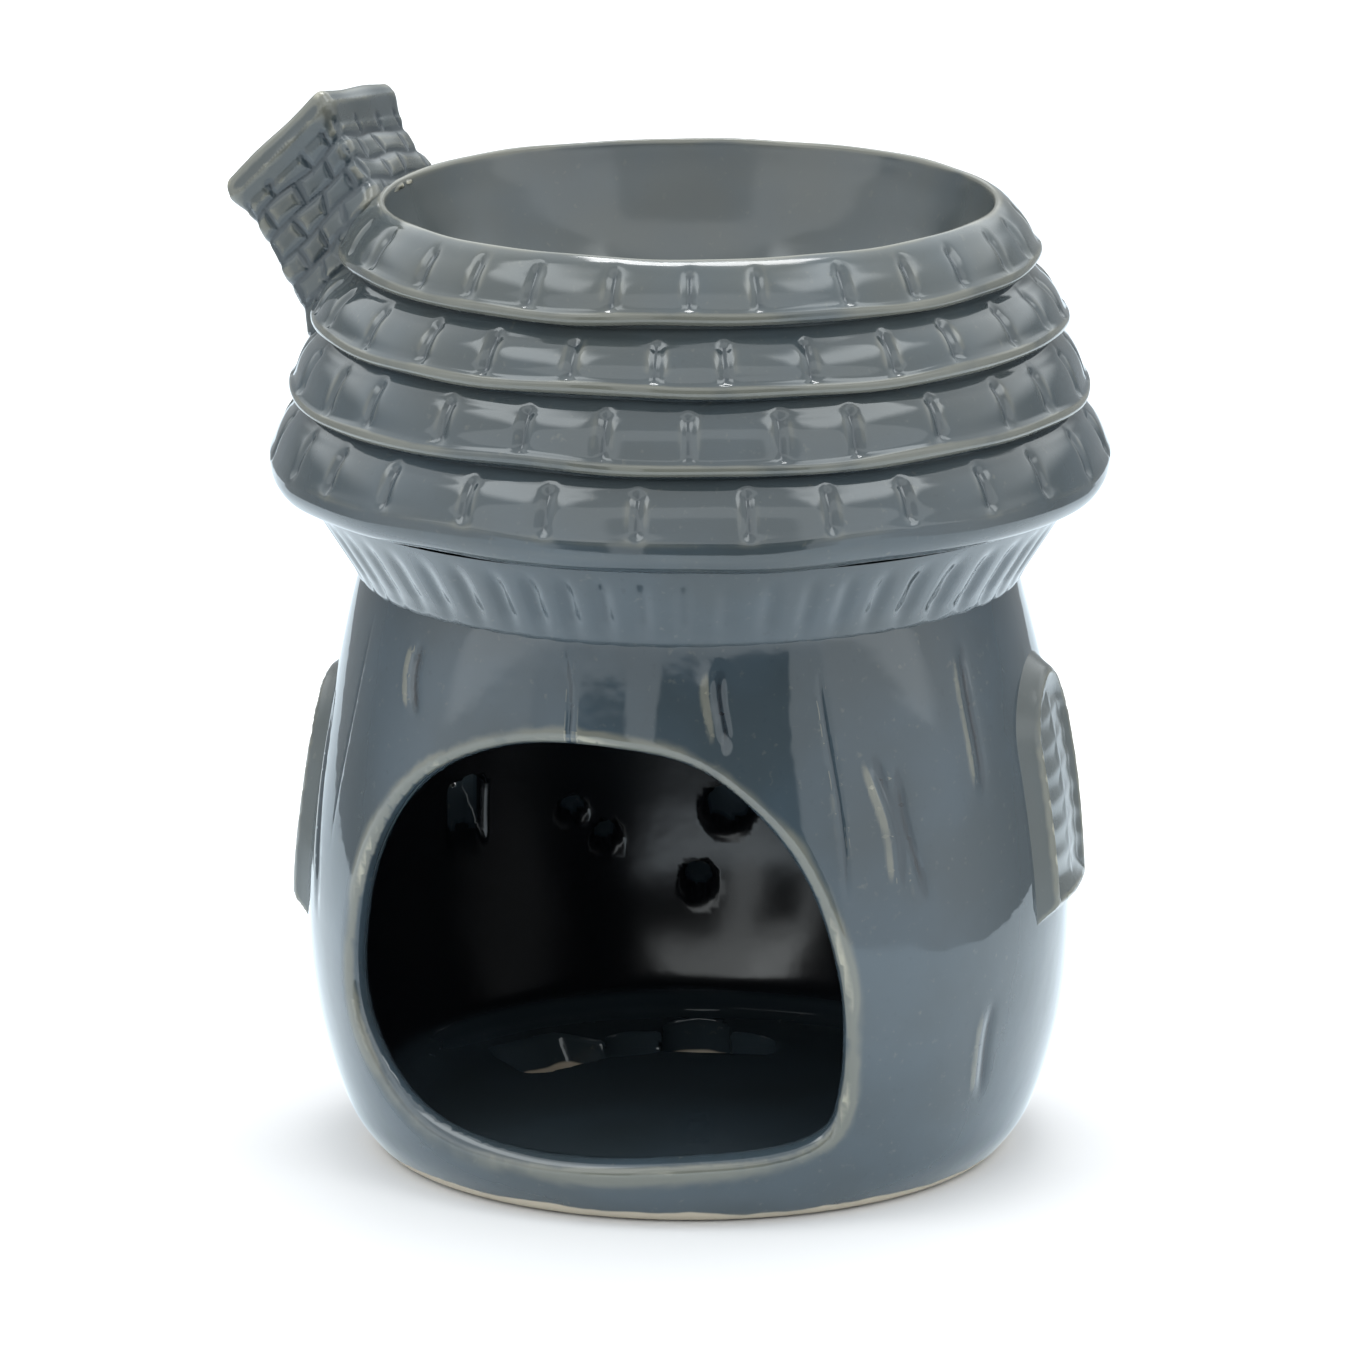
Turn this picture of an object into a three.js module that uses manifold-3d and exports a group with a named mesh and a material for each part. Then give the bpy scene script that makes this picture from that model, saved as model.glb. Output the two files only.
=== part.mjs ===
// A mushroom house oil burner in glazed stoneware: a stalk with a door for a tealight, and a shingled cap
// whose crown is the oil dish. Millimetres, standing on z = 0, door facing -Y, chimney leaning to -X.
// Each piece below is one that the potter forms apart and joins with slip before the firing.
import * as THREE from "three";
import { mergeVertices } from "three/addons/utils/BufferGeometryUtils.js";
import Module from "manifold-3d";

const wasm = await Module();
wasm.setup();

// Shared by all pieces
const COLUMNS = 56; // facets round a turned piece, two to a shingle
const CLEARANCE = 0.3; // slip joint between a curved piece and the one that it is trimmed to
const WALL = 4.5; // thickness of the cast wall
const BEYOND = 10; // how far a cutter runs past what it cuts

// Stalk: outside radius and height, from the foot to the neck
const NECK = 73;
const STALK_OUTLINE = [
  [39.2, 0],
  [43.2, 6],
  [46.9, 18],
  [48, 31],
  [46.8, 46],
  [44.2, 61],
  [41.4, NECK],
];
const STALK_STEPS = 9;
const FLOOR_TOP = 5;

// Door: the hand-cut outline in x and z at the outer face, and how the cut narrows inwards
const DOOR_OUTLINE = [
  [-35.6, 28.5],
  [-33, 42],
  [-25.5, 53.8],
  [-14, 60],
  [0, 60.9],
  [12.4, 57.8],
  [23, 46.2],
  [28, 31],
  [27.6, 16],
  [23.4, 10.6],
  [8, 9.6],
  [-12, 9],
  [-26, 11.8],
  [-33.6, 19.5],
];
const DOOR_STEPS = 42;
const DOOR_CENTRE = [-4, 34];
const DOOR_FACE_Y = -52;
const DOOR_INNER_Y = -20;
const DOOR_INNER_SCALE = 0.9;

// Rear openings: azimuth in degrees from the door towards +X, height and size
const ROUND_VENTS = [
  { azimuth: 213.5, height: 31.5, diameter: 3.6 },
  { azimuth: 207.5, height: 27.5, diameter: 3.6 },
  { azimuth: 191.5, height: 21.2, diameter: 4.2 },
  { azimuth: 186.5, height: 30.8, diameter: 6.2 },
];
const SQUARE_VENT = { azimuth: 234.5, height: 33, width: 6, rise: 9 };
const VENT_RISE = 1.35; // how much a vent rises for each millimetre on its way out
const VENT_TAPER = 0.09; // how much narrower it gets, as a share of its size, for each millimetre

// Plank lines scratched in the stalk: azimuth and height of the upper end, then of the lower end
const PLANK_LINES = [
  [18.3, 71, 18.3, 62],
  [44.2, 59, 49, 39],
  [35, 71, 37, 59],
  [65, 71, 64.5, 51],
  [64, 26, 64, 13],
  [-39, 70.5, -37, 62],
  [-72, 59, -63, 31],
  [112, 66, 115, 44],
  [128, 40, 126, 17],
  [147, 70, 146, 48],
  [168, 58, 170, 41],
  [196, 69, 194, 50],
  [-142, 64, -138, 47],
  [-112, 70, -115, 52],
];
const PLANK_WIDTH = 1;
const PLANK_DEPTH = 0.6;

// Cap: four courses of shingles, each one a quarter ellipse from its head to its lip
const RIM_TOP = 121;
const RIM_CREST_RADIUS = 38.4;
const LIP_RADII = [43.9, 47.4, 50.1, 52.6];
const LIP_HEIGHTS = [114.2, 106.1, 97.2, 88.8];
const LIP_THICKNESS = 0.7;
const LIP_UNDERCUT = 1;
const GROOVE_DROP = 1.6; // from a lip down to the head of the next course
const COURSE_STEPS = 3;
const SHINGLES = 28;
const SHINGLE_COLUMNS = 4; // a joint, an edge, the middle and the other edge
const SHINGLE_JOINT_WIDTH = 1.5;
const SHINGLE_JOINT_DEPTH = 0.9;

// Underside of the cap: points in and down from the lowest lip, then points out and up from the neck
const EAVE_TURN = [
  [0.6, 2.3],
  [2.1, 3.8],
];
const CREASE = [4.6, 4.6];
const NECK_BAND = [0.5, 1.2];
const GILL_END = [1, 2.4];
const GILL_DEPTH = 0.6; // a groove lies between each two of the cap's columns
const GILL_RUN = [0.16, 0.82]; // the groove's full depth, as shares of the way from the neck to the crease

// Dish: the inner outline from the rim to the bottom, and the plane on which its flange rests
const FLANGE_THICKNESS = 3.5;
const FLANGE_HEIGHT = RIM_TOP - FLANGE_THICKNESS;
const DISH_WALL = 2.2;
const DISH_OUTLINE = [
  [37.6, 120.3],
  [37, 116],
  [34.6, 108.6],
  [29, 102],
  [18.5, 99.2],
  [0, 98.8],
];
const DISH_STEPS = 8;
const DISH_FLOOR = 4;

// Chimney: top centre and the directions of its three edges; the courses lie along its slanting top
const CHIMNEY_TOP = new THREE.Vector3(-50.3, 5.7, 125.5);
const CHIMNEY_UP = new THREE.Vector3(-0.531, 0.08, 0.845);
const CHIMNEY_IN = new THREE.Vector3(0.711, -0.106, 0.694);
const CHIMNEY_BACK = new THREE.Vector3(0.141, 0.983, -0.12);
const STACK_IN_LENGTH = 16.8;
const STACK_BACK_LENGTH = 21.2;
const STACK_HEIGHT = 30;
const STACK_CAP_THICKNESS = 3.3;
const STACK_CAP_OVERHANG = 0.9;
const STACK_CAP_TOP_SCALE = 1.04;
const BRICK_COURSE = 3.1;
const BRICK_COURSES = 6;
const BRICK_JOINT = 0.8;
const BRICK_JOINT_DEPTH = 0.5;
const FLUE_IN_LENGTH = 7;
const FLUE_BACK_LENGTH = 10;

// Windows: an arched frame standing proud of the stalk, with barred panes set in it
const WINDOW_HALF_WIDTH = 9.8;
const WINDOW_RISE = 30;
const RIGHT_SILL = 34;
const LEFT_SILL = 29.5;
const WINDOW_BAND = 2.8;
const WINDOW_PROUD = 2.4;
const BARS_PROUD = 1.8;
const PANE_PROUD = 0.9;
const BAR_WIDTH = 1.2;
const PANE_ROWS = 7;

const SLATE_GLAZE = new THREE.MeshStandardMaterial({ color: 0x66737c, roughness: 0.12, metalness: 0 });
const BARE_CLAY = new THREE.MeshStandardMaterial({ color: 0xc9b295, roughness: 0.8, metalness: 0 });

// A three.js geometry as a solid that can be joined and cut.
function solid(geometry) {
  const bare = new THREE.BufferGeometry();
  bare.setAttribute("position", geometry.getAttribute("position").clone());
  if (geometry.index) bare.setIndex(geometry.index.clone());
  const merged = mergeVertices(bare, 1e-4);
  const corners = merged.index.array;
  const triVerts = [];
  for (let i = 0; i < corners.length; i += 3) {
    const [a, b, c] = [corners[i], corners[i + 1], corners[i + 2]];
    if (a !== b && b !== c && c !== a) triVerts.push(a, b, c);
  }
  const mesh = new wasm.Mesh({
    numProp: 3,
    vertProperties: merged.attributes.position.array,
    triVerts: new Uint32Array(triVerts),
  });
  return new wasm.Manifold(mesh);
}

function join(solids) {
  return solids.reduce((whole, piece) => whole.add(piece));
}

// The main body of a cut piece, without the slivers that a cut leaves beside it.
function mainBody(piece) {
  return piece.decompose().reduce((main, body) => (body.volume() > main.volume() ? body : main));
}

// A solid of revolution about Z from [radius, height] points that run up its outside.
function turned(points) {
  const outline = points.map(([radius, height]) => new THREE.Vector2(radius, height));
  const halfColumn = Math.PI / COLUMNS;
  const geometry = new THREE.LatheGeometry(outline, COLUMNS, halfColumn);
  geometry.rotateX(Math.PI / 2);
  return solid(geometry);
}

function curvePoints(outline, steps) {
  const curve = new THREE.SplineCurve(outline.map(([x, y]) => new THREE.Vector2(x, y)));
  return curve.getPoints(steps).map((point) => [point.x, point.y]);
}

// A box with its centre at an azimuth (degrees from the door towards +X), a radius and a height.
function boxAt(azimuth, radius, height, width, depth, rise, tilt = 0) {
  const geometry = new THREE.BoxGeometry(width, depth, rise);
  geometry.rotateY(tilt);
  geometry.translate(0, -radius, height);
  geometry.rotateZ(THREE.MathUtils.degToRad(azimuth));
  return solid(geometry);
}

// The stalk

const STALK_SIDE = curvePoints(STALK_OUTLINE, STALK_STEPS);

// The solid inside the stalk's outer face, grown outwards by an offset.
function stalkGrownBy(offset) {
  const side = STALK_SIDE.map(([radius, height]) => [radius + offset, height]);
  return turned([[0, 0], ...side, [0, NECK]]);
}

// The space inside the wall, running out below the foot and above the neck.
function wallSpace() {
  const side = STALK_SIDE.map(([radius, height]) => [radius - WALL, height]);
  const [footRadius] = side[0];
  const [neckRadius] = side.at(-1);
  return turned([
    [0, -BEYOND],
    [footRadius, -BEYOND],
    ...side,
    [neckRadius, NECK + BEYOND],
    [0, NECK + BEYOND],
  ]);
}

// The door cutter runs straight through the front wall and narrows towards the chamber.
function doorCutter() {
  const corners = DOOR_OUTLINE.map(([x, z]) => new THREE.Vector3(x, z, 0));
  const outline = new THREE.CatmullRomCurve3(corners, true, "centripetal").getPoints(DOOR_STEPS);
  const shape = new THREE.Shape(outline.slice(0, -1).map((point) => new THREE.Vector2(point.x, point.y)));
  const depth = DOOR_INNER_Y - DOOR_FACE_Y;
  const geometry = new THREE.ExtrudeGeometry(shape, { depth, steps: 1, bevelEnabled: false });
  const position = geometry.getAttribute("position");
  const [centreX, centreZ] = DOOR_CENTRE;
  for (let i = 0; i < position.count; i += 1) {
    const inwards = 1 - position.getZ(i) / depth;
    const scale = THREE.MathUtils.lerp(1, DOOR_INNER_SCALE, inwards);
    const x = centreX + (position.getX(i) - centreX) * scale;
    const z = centreZ + (position.getY(i) - centreZ) * scale;
    position.setXYZ(i, x, z, position.getZ(i));
  }
  geometry.rotateX(Math.PI / 2);
  geometry.translate(0, DOOR_INNER_Y, 0);
  return solid(geometry);
}

// Shapes a prism along Y into a vent that rises and narrows on its way out, with its inner mouth at a height.
function ventCutter(prism, { azimuth, height }) {
  const position = prism.getAttribute("position");
  for (let i = 0; i < position.count; i += 1) {
    const outwards = -position.getY(i);
    const scale = 1 - VENT_TAPER * outwards;
    const z = position.getZ(i) * scale + VENT_RISE * outwards;
    position.setXYZ(i, position.getX(i) * scale, position.getY(i), z);
  }
  prism.translate(0, WALL - STALK_OUTLINE[3][0], height);
  prism.rotateZ(THREE.MathUtils.degToRad(azimuth));
  return solid(prism);
}

function ventCutters() {
  const length = 4 * WALL;
  const cutters = ROUND_VENTS.map((vent) => {
    const radius = vent.diameter / 2;
    return ventCutter(new THREE.CylinderGeometry(radius, radius, length, 16), vent);
  });
  const square = new THREE.BoxGeometry(SQUARE_VENT.width, length, SQUARE_VENT.rise);
  cutters.push(ventCutter(square, SQUARE_VENT));
  return join(cutters);
}

function plankCutters() {
  const strokes = PLANK_LINES.map(([topAzimuth, top, bottomAzimuth, bottom]) => {
    const azimuth = (topAzimuth + bottomAzimuth) / 2;
    const radius = STALK_OUTLINE[4][0];
    const across = THREE.MathUtils.degToRad(topAzimuth - bottomAzimuth) * radius;
    const tilt = Math.atan2(across, top - bottom);
    return boxAt(azimuth, radius, (top + bottom) / 2, PLANK_WIDTH, 2 * BEYOND, top - bottom, tilt);
  });
  return join(strokes).subtract(stalkGrownBy(-PLANK_DEPTH));
}

// The wall stands on its foot ring, and the floor is the disc set in the ring.
function stalkPieces() {
  const ring = stalkGrownBy(0).subtract(wallSpace());
  const wall = ring.subtract(doorCutter()).subtract(ventCutters()).subtract(plankCutters());
  const [, floor] = stalkGrownBy(-WALL - CLEARANCE).splitByPlane([0, 0, 1], FLOOR_TOP);
  return { wall, floor };
}

// The cap and the dish

function courseHead(course) {
  if (course === 0) return [RIM_CREST_RADIUS, RIM_TOP];
  return [LIP_RADII[course - 1] - LIP_UNDERCUT, LIP_HEIGHTS[course - 1] - GROOVE_DROP];
}

// One course as points from under its lip up to its head, shifted outwards by an offset.
function courseSide(course, offset) {
  const [headRadius, headHeight] = courseHead(course);
  const lipRadius = LIP_RADII[course];
  const lipHeight = LIP_HEIGHTS[course];
  const side = [[lipRadius - LIP_THICKNESS / 2 + offset, lipHeight - LIP_THICKNESS]];
  for (let step = 0; step <= COURSE_STEPS; step += 1) {
    const angle = (step / COURSE_STEPS) * (Math.PI / 2);
    const radius = headRadius + (lipRadius - headRadius) * Math.cos(angle);
    const height = lipHeight + (headHeight - lipHeight) * Math.sin(angle);
    side.push([radius + offset, height]);
  }
  return side;
}

function belowLip([inwards, down]) {
  return [LIP_RADII.at(-1) - inwards, LIP_HEIGHTS.at(-1) - down];
}

function aboveNeck([outwards, up]) {
  return [STALK_OUTLINE.at(-1)[0] + outwards, NECK + up];
}

// The solid inside the cap's outer face, from the neck to the rim, grown by an offset.
function capGrownBy(offset) {
  const underside = [
    aboveNeck([0, 0]),
    aboveNeck(NECK_BAND),
    aboveNeck(GILL_END),
    belowLip(CREASE),
    ...EAVE_TURN.toReversed().map(belowLip),
  ].map(([radius, height]) => [radius + offset, height]);
  const courses = LIP_RADII.map((_, course) => courseSide(course, offset)).toReversed().flat();
  const top = RIM_TOP + Math.max(0, offset);
  return turned([[0, NECK], ...underside, ...courses.slice(1, -1), [RIM_CREST_RADIUS, top], [0, top]]);
}

// The rows of the cap's outer face from the neck up, with the depth of the grooves that cross each one.
function capRows() {
  const lowEnd = new THREE.Vector2(...aboveNeck(GILL_END));
  const highEnd = new THREE.Vector2(...belowLip(CREASE));
  const gillAt = (share) => lowEnd.clone().lerp(highEnd, share).toArray();
  const rows = [
    { at: [0, NECK] },
    { at: aboveNeck([0, 0]) },
    { at: aboveNeck(NECK_BAND) },
    { at: gillAt(0) },
    { at: gillAt(GILL_RUN[0]), gill: GILL_DEPTH },
    { at: gillAt(GILL_RUN[1]), gill: GILL_DEPTH },
    { at: gillAt(1) },
    ...EAVE_TURN.toReversed().map((turn) => ({ at: belowLip(turn) })),
  ];
  for (let course = LIP_RADII.length - 1; course >= 0; course -= 1) {
    const side = courseSide(course, 0);
    side.forEach((at, row) => {
      const crossed = row > 0 && row < side.length - 1;
      const depth = row === 1 ? SHINGLE_JOINT_DEPTH / 2 : SHINGLE_JOINT_DEPTH;
      rows.push({ at, course, joint: crossed ? depth : 0 });
    });
  }
  rows.push({ at: [0, RIM_TOP] });
  return rows;
}

// The cap as one revolve: in each course two of a shingle's four columns are drawn up to its joint, and the
// joint's own column is sunk. Each course is turned half a shingle from the one above.
function shingledCap() {
  const rows = capRows();
  const columns = SHINGLES * SHINGLE_COLUMNS;
  const outline = rows.map(({ at: [radius, height] }) => new THREE.Vector2(radius, height));
  const geometry = new THREE.LatheGeometry(outline, columns);
  const position = geometry.getAttribute("position");
  const pitch = (2 * Math.PI) / columns;
  for (let i = 0; i < position.count; i += 1) {
    const column = Math.floor(i / rows.length);
    const { at, course, joint = 0, gill = 0 } = rows[i % rows.length];
    let [radius] = at;
    let angle = column * pitch;
    if (joint) {
      const half = SHINGLE_JOINT_WIDTH / 2 / radius;
      const place = (column + (course % 2) * 2) % SHINGLE_COLUMNS;
      if (place === 0) radius -= joint;
      if (place === 1) angle += half - pitch;
      if (place === 3) angle += pitch - half;
    }
    if (column % 2 === 0) radius -= gill;
    position.setX(i, radius * Math.sin(angle));
    position.setZ(i, radius * Math.cos(angle));
  }
  geometry.rotateX(Math.PI / 2);
  return solid(geometry);
}

// The solid that fills the dish to its brim.
function dishBowl() {
  const inner = curvePoints(DISH_OUTLINE, DISH_STEPS).toReversed();
  const [rimRadius] = inner.at(-1);
  return turned([...inner, [rimRadius + 0.4, RIM_TOP], [rimRadius + 0.4, RIM_TOP + BEYOND], [0, RIM_TOP + BEYOND]]);
}

// Everything that belongs to the dish: its bowl, and the flange above the plane on which it rests.
function dishBounds() {
  const outer = curvePoints(DISH_OUTLINE, DISH_STEPS)
    .toReversed()
    .filter(([, height]) => height < FLANGE_HEIGHT - 1)
    .map(([radius, height]) => {
      const low = (FLANGE_HEIGHT - height) / (FLANGE_HEIGHT - DISH_OUTLINE.at(-1)[1]);
      return [radius && radius + DISH_WALL, height - DISH_FLOOR * low];
    });
  const wide = LIP_RADII[0] + BEYOND;
  return turned([
    ...outer,
    [DISH_OUTLINE[1][0] + DISH_WALL, FLANGE_HEIGHT],
    [wide, FLANGE_HEIGHT],
    [wide, RIM_TOP + BEYOND],
    [0, RIM_TOP + BEYOND],
  ]);
}

// The space under the dish: it opens downwards into the chamber.
function underDishSpace() {
  const chamberNeck = STALK_OUTLINE.at(-1)[0] - WALL;
  const [gillEndRadius, gillEndHeight] = aboveNeck(GILL_END);
  const [creaseRadius, creaseHeight] = belowLip(CREASE);
  const dishSide = DISH_OUTLINE[1][0] + DISH_WALL + CLEARANCE;
  return turned([
    [0, NECK - BEYOND],
    [chamberNeck, NECK - BEYOND],
    [chamberNeck, NECK],
    [gillEndRadius - WALL, gillEndHeight + 0.8],
    [creaseRadius - WALL, creaseHeight + 2],
    [LIP_RADII[3] - WALL - 1.4, LIP_HEIGHTS[3] + 2],
    [LIP_RADII[2] - WALL - 0.6, LIP_HEIGHTS[2]],
    [LIP_RADII[1] - WALL - 0.6, LIP_HEIGHTS[1] - 0.6],
    [dishSide + 0.4, LIP_HEIGHTS[0] - 3],
    [dishSide, FLANGE_HEIGHT],
    [0, FLANGE_HEIGHT],
  ]);
}

function capPieces() {
  const cap = shingledCap();
  const dish = cap.intersect(dishBounds()).subtract(dishBowl());
  const roof = cap.subtract(dishBounds()).subtract(underDishSpace());
  return { roof, dish };
}

// The chimney

// Turns a geometry from the chimney's own axes (in, back, up) with z = 0 at its top to the part's frame.
function placeOnChimney(geometry) {
  const axes = new THREE.Matrix4().makeBasis(CHIMNEY_IN, CHIMNEY_BACK, CHIMNEY_UP);
  axes.setPosition(CHIMNEY_TOP);
  return solid(geometry.applyMatrix4(axes));
}

function chimneyBlock(inLength, backLength, bottom, top, topScale = 1) {
  const geometry = new THREE.BoxGeometry(inLength, backLength, top - bottom);
  const position = geometry.getAttribute("position");
  for (let i = 0; i < position.count; i += 1) {
    const scale = position.getZ(i) > 0 ? topScale : 1;
    position.setXYZ(i, position.getX(i) * scale, position.getY(i) * scale, position.getZ(i));
  }
  geometry.translate(0, 0, (top + bottom) / 2);
  return placeOnChimney(geometry);
}

// The mortar joints: one round each course, and upright ones staggered by half a brick.
function mortarJoints() {
  const coreIn = STACK_IN_LENGTH - 2 * BRICK_JOINT_DEPTH;
  const coreBack = STACK_BACK_LENGTH - 2 * BRICK_JOINT_DEPTH;
  const half = BRICK_JOINT / 2;
  const wide = 2 * STACK_BACK_LENGTH;
  const cuts = [];
  for (let course = 1; course <= BRICK_COURSES; course += 1) {
    const bed = -STACK_CAP_THICKNESS - course * BRICK_COURSE;
    const head = bed + BRICK_COURSE;
    cuts.push(chimneyBlock(wide, wide, bed - half, bed + half));
    const shift = course % 2 === 0 ? 1 : -1;
    const across = new THREE.BoxGeometry(BRICK_JOINT, wide, head - bed);
    across.translate((shift * STACK_IN_LENGTH) / 8, 0, (bed + head) / 2);
    cuts.push(placeOnChimney(across));
    const along = new THREE.BoxGeometry(wide, BRICK_JOINT, head - bed);
    along.translate(0, (shift * STACK_BACK_LENGTH) / 8, (bed + head) / 2);
    cuts.push(placeOnChimney(along));
  }
  return join(cuts).subtract(chimneyBlock(coreIn, coreBack, -2 * STACK_HEIGHT, BEYOND));
}

function chimneyPieces() {
  const seat = -STACK_CAP_THICKNESS - CLEARANCE;
  const stack = chimneyBlock(STACK_IN_LENGTH, STACK_BACK_LENGTH, -STACK_HEIGHT, seat)
    .subtract(mortarJoints())
    .subtract(capGrownBy(CLEARANCE));
  const capIn = STACK_IN_LENGTH + 2 * STACK_CAP_OVERHANG;
  const capBack = STACK_BACK_LENGTH + 2 * STACK_CAP_OVERHANG;
  const slab = chimneyBlock(capIn, capBack, -STACK_CAP_THICKNESS, 0, STACK_CAP_TOP_SCALE);
  const flue = chimneyBlock(FLUE_IN_LENGTH, FLUE_BACK_LENGTH, -BEYOND, BEYOND);
  return { stack: mainBody(stack), cap: slab.subtract(flue) };
}

// The windows

// An arched block along X on the side that the window faces, inset from the window's outline.
function archedBlock(side, sill, inset) {
  const half = WINDOW_HALF_WIDTH - inset;
  const spring = sill + WINDOW_RISE - WINDOW_HALF_WIDTH;
  const shape = new THREE.Shape();
  shape.moveTo(-half, sill + inset);
  shape.lineTo(half, sill + inset);
  shape.lineTo(half, spring);
  shape.absarc(0, spring, half, 0, Math.PI);
  const geometry = new THREE.ExtrudeGeometry(shape, {
    depth: 3 * BEYOND,
    steps: 1,
    curveSegments: 10,
    bevelEnabled: false,
  });
  geometry.rotateX(Math.PI / 2);
  geometry.rotateZ(Math.PI / 2);
  geometry.translate(3 * BEYOND, 0, 0);
  if (side < 0) geometry.rotateZ(Math.PI);
  return solid(geometry);
}

function paneCutters(side, sill) {
  const inset = WINDOW_BAND + CLEARANCE + BAR_WIDTH / 2;
  const half = WINDOW_HALF_WIDTH - inset;
  const low = sill + inset;
  const pitch = (WINDOW_RISE - 2 * inset) / PANE_ROWS;
  const cuts = [];
  for (let row = 0; row < PANE_ROWS; row += 1) {
    for (const column of [-1, 1]) {
      const width = half - BAR_WIDTH / 2;
      const geometry = new THREE.BoxGeometry(6 * BEYOND, width, pitch - BAR_WIDTH);
      const across = (column * (width + BAR_WIDTH)) / 2;
      geometry.translate(side * 5 * BEYOND, across, low + pitch * (row + 0.5));
      cuts.push(solid(geometry));
    }
  }
  return join(cuts).intersect(archedBlock(side, sill, inset)).subtract(stalkGrownBy(PANE_PROUD));
}

function windowPieces(side, sill) {
  const wallFace = stalkGrownBy(CLEARANCE);
  const frame = archedBlock(side, sill, 0)
    .intersect(stalkGrownBy(WINDOW_PROUD))
    .subtract(archedBlock(side, sill, WINDOW_BAND))
    .subtract(wallFace);
  const panes = archedBlock(side, sill, WINDOW_BAND + CLEARANCE)
    .intersect(stalkGrownBy(BARS_PROUD))
    .subtract(wallFace)
    .subtract(paneCutters(side, sill));
  return { frame, panes };
}

// A solid as a named mesh of the part.
function named(name, piece, material) {
  const { numProp, numVert, vertProperties, triVerts } = piece.getMesh();
  const position = new Float32Array(numVert * 3);
  for (let i = 0; i < numVert; i += 1) {
    position.set(vertProperties.subarray(i * numProp, i * numProp + 3), i * 3);
  }
  const geometry = new THREE.BufferGeometry();
  geometry.setAttribute("position", new THREE.BufferAttribute(position, 3));
  geometry.setIndex(new THREE.BufferAttribute(triVerts, 1));
  geometry.computeVertexNormals();
  const mesh = new THREE.Mesh(geometry, material);
  mesh.name = name;
  return mesh;
}

const stalk = stalkPieces();
const cap = capPieces();
const chimney = chimneyPieces();
const rightWindow = windowPieces(1, RIGHT_SILL);
const leftWindow = windowPieces(-1, LEFT_SILL);

const burner = new THREE.Group();
burner.name = "mushroom_house_oil_burner";
burner.add(
  named("floor_slab", stalk.floor, BARE_CLAY),
  named("stalk_wall", stalk.wall, SLATE_GLAZE),
  named("roof_shell", cap.roof, SLATE_GLAZE),
  named("oil_dish", cap.dish, SLATE_GLAZE),
  named("chimney_stack", chimney.stack, SLATE_GLAZE),
  named("chimney_cap", chimney.cap, SLATE_GLAZE),
  named("right_window_frame", rightWindow.frame, SLATE_GLAZE),
  named("right_window_panes", rightWindow.panes, SLATE_GLAZE),
  named("left_window_frame", leftWindow.frame, SLATE_GLAZE),
  named("left_window_panes", leftWindow.panes, SLATE_GLAZE),
);

export default burner;
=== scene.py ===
"""The looks of the mushroom house oil burner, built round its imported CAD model.

Lengths are in millimetres until a mesh is made. Azimuths run from the door (-Y) towards +X. The cap and the
dish are grids laid along a profile. The stalk, the windows and the chimney are the zero sets of signed
distance fields, negative inside, so that their edges can be rounded as thick glaze rounds them.
"""

import math

import bpy
import numpy as np
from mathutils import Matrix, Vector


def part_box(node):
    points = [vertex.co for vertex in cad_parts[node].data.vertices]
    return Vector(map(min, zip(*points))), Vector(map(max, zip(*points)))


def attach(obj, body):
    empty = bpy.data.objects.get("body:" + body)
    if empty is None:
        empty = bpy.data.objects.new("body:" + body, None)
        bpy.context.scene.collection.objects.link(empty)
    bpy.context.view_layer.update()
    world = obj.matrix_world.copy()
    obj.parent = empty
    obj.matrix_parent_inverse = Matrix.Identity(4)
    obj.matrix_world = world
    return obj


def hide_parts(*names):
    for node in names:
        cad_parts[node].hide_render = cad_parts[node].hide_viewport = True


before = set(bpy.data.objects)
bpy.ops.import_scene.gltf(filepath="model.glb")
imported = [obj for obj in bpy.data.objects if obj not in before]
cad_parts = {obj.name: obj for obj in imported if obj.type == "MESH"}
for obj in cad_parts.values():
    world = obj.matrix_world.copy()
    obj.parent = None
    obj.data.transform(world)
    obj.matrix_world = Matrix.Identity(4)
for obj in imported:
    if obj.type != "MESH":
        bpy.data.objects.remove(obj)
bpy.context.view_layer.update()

# Stalk, as in the CAD model
NECK = 73.0
WALL = 4.5
FLOOR_TOP = 5.0
STALK_OUTLINE = [(39.2, 0), (43.2, 6), (46.9, 18), (48, 31), (46.8, 46), (44.2, 61), (41.4, NECK)]
STALK_TOP = [(40.2, 76), (39, 80)]  # hidden in the cap
STALK_CELL = 0.85
STALK_MARGIN = (1.5, 1.2)  # how far the grid reaches past the stalk, sideways and upwards
FLOOR_ROUND = 5.0
FLAT_FLOOR = 33.0  # radius of the floor inside its round
FOOT_ROUND = 1.4
CHAMBER_SHADE_FROM = 3.2  # how deep in the wall the chamber's painted shade starts, so that the door's edge stays clear of it

DOOR_OUTLINE = [
    (-35.6, 28.5), (-33, 42), (-25.5, 53.8), (-14, 60), (0, 60.9), (12.4, 57.8), (23, 46.2),
    (28, 31), (27.6, 16), (23.4, 10.6), (8, 9.6), (-12, 9), (-26, 11.8), (-33.6, 19.5),
]
DOOR_CENTRE = (-4.0, 34.0)
DOOR_FACE_Y = -52.0
DOOR_INNER_Y = -20.0
DOOR_INNER_SCALE = 0.9
DOOR_LIP = 2.6
TOP_LIP_LOSS = 0.9  # how much narrower the lip is over the top of the door
TOP_LIP_SPAN = (48.0, 58.0)  # the heights between which it narrows
DOOR_FLARE = (1.0, 1.9)  # how much the door widens at its face, at least and at the lower left
DOOR_SINK = 0.5  # how much of that is left at the inner face
BROAD_LIP = (-24.0, 13.0, 9.0, 1.6)  # x and z of the lip's broad stretch, its reach and its extra width

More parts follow.
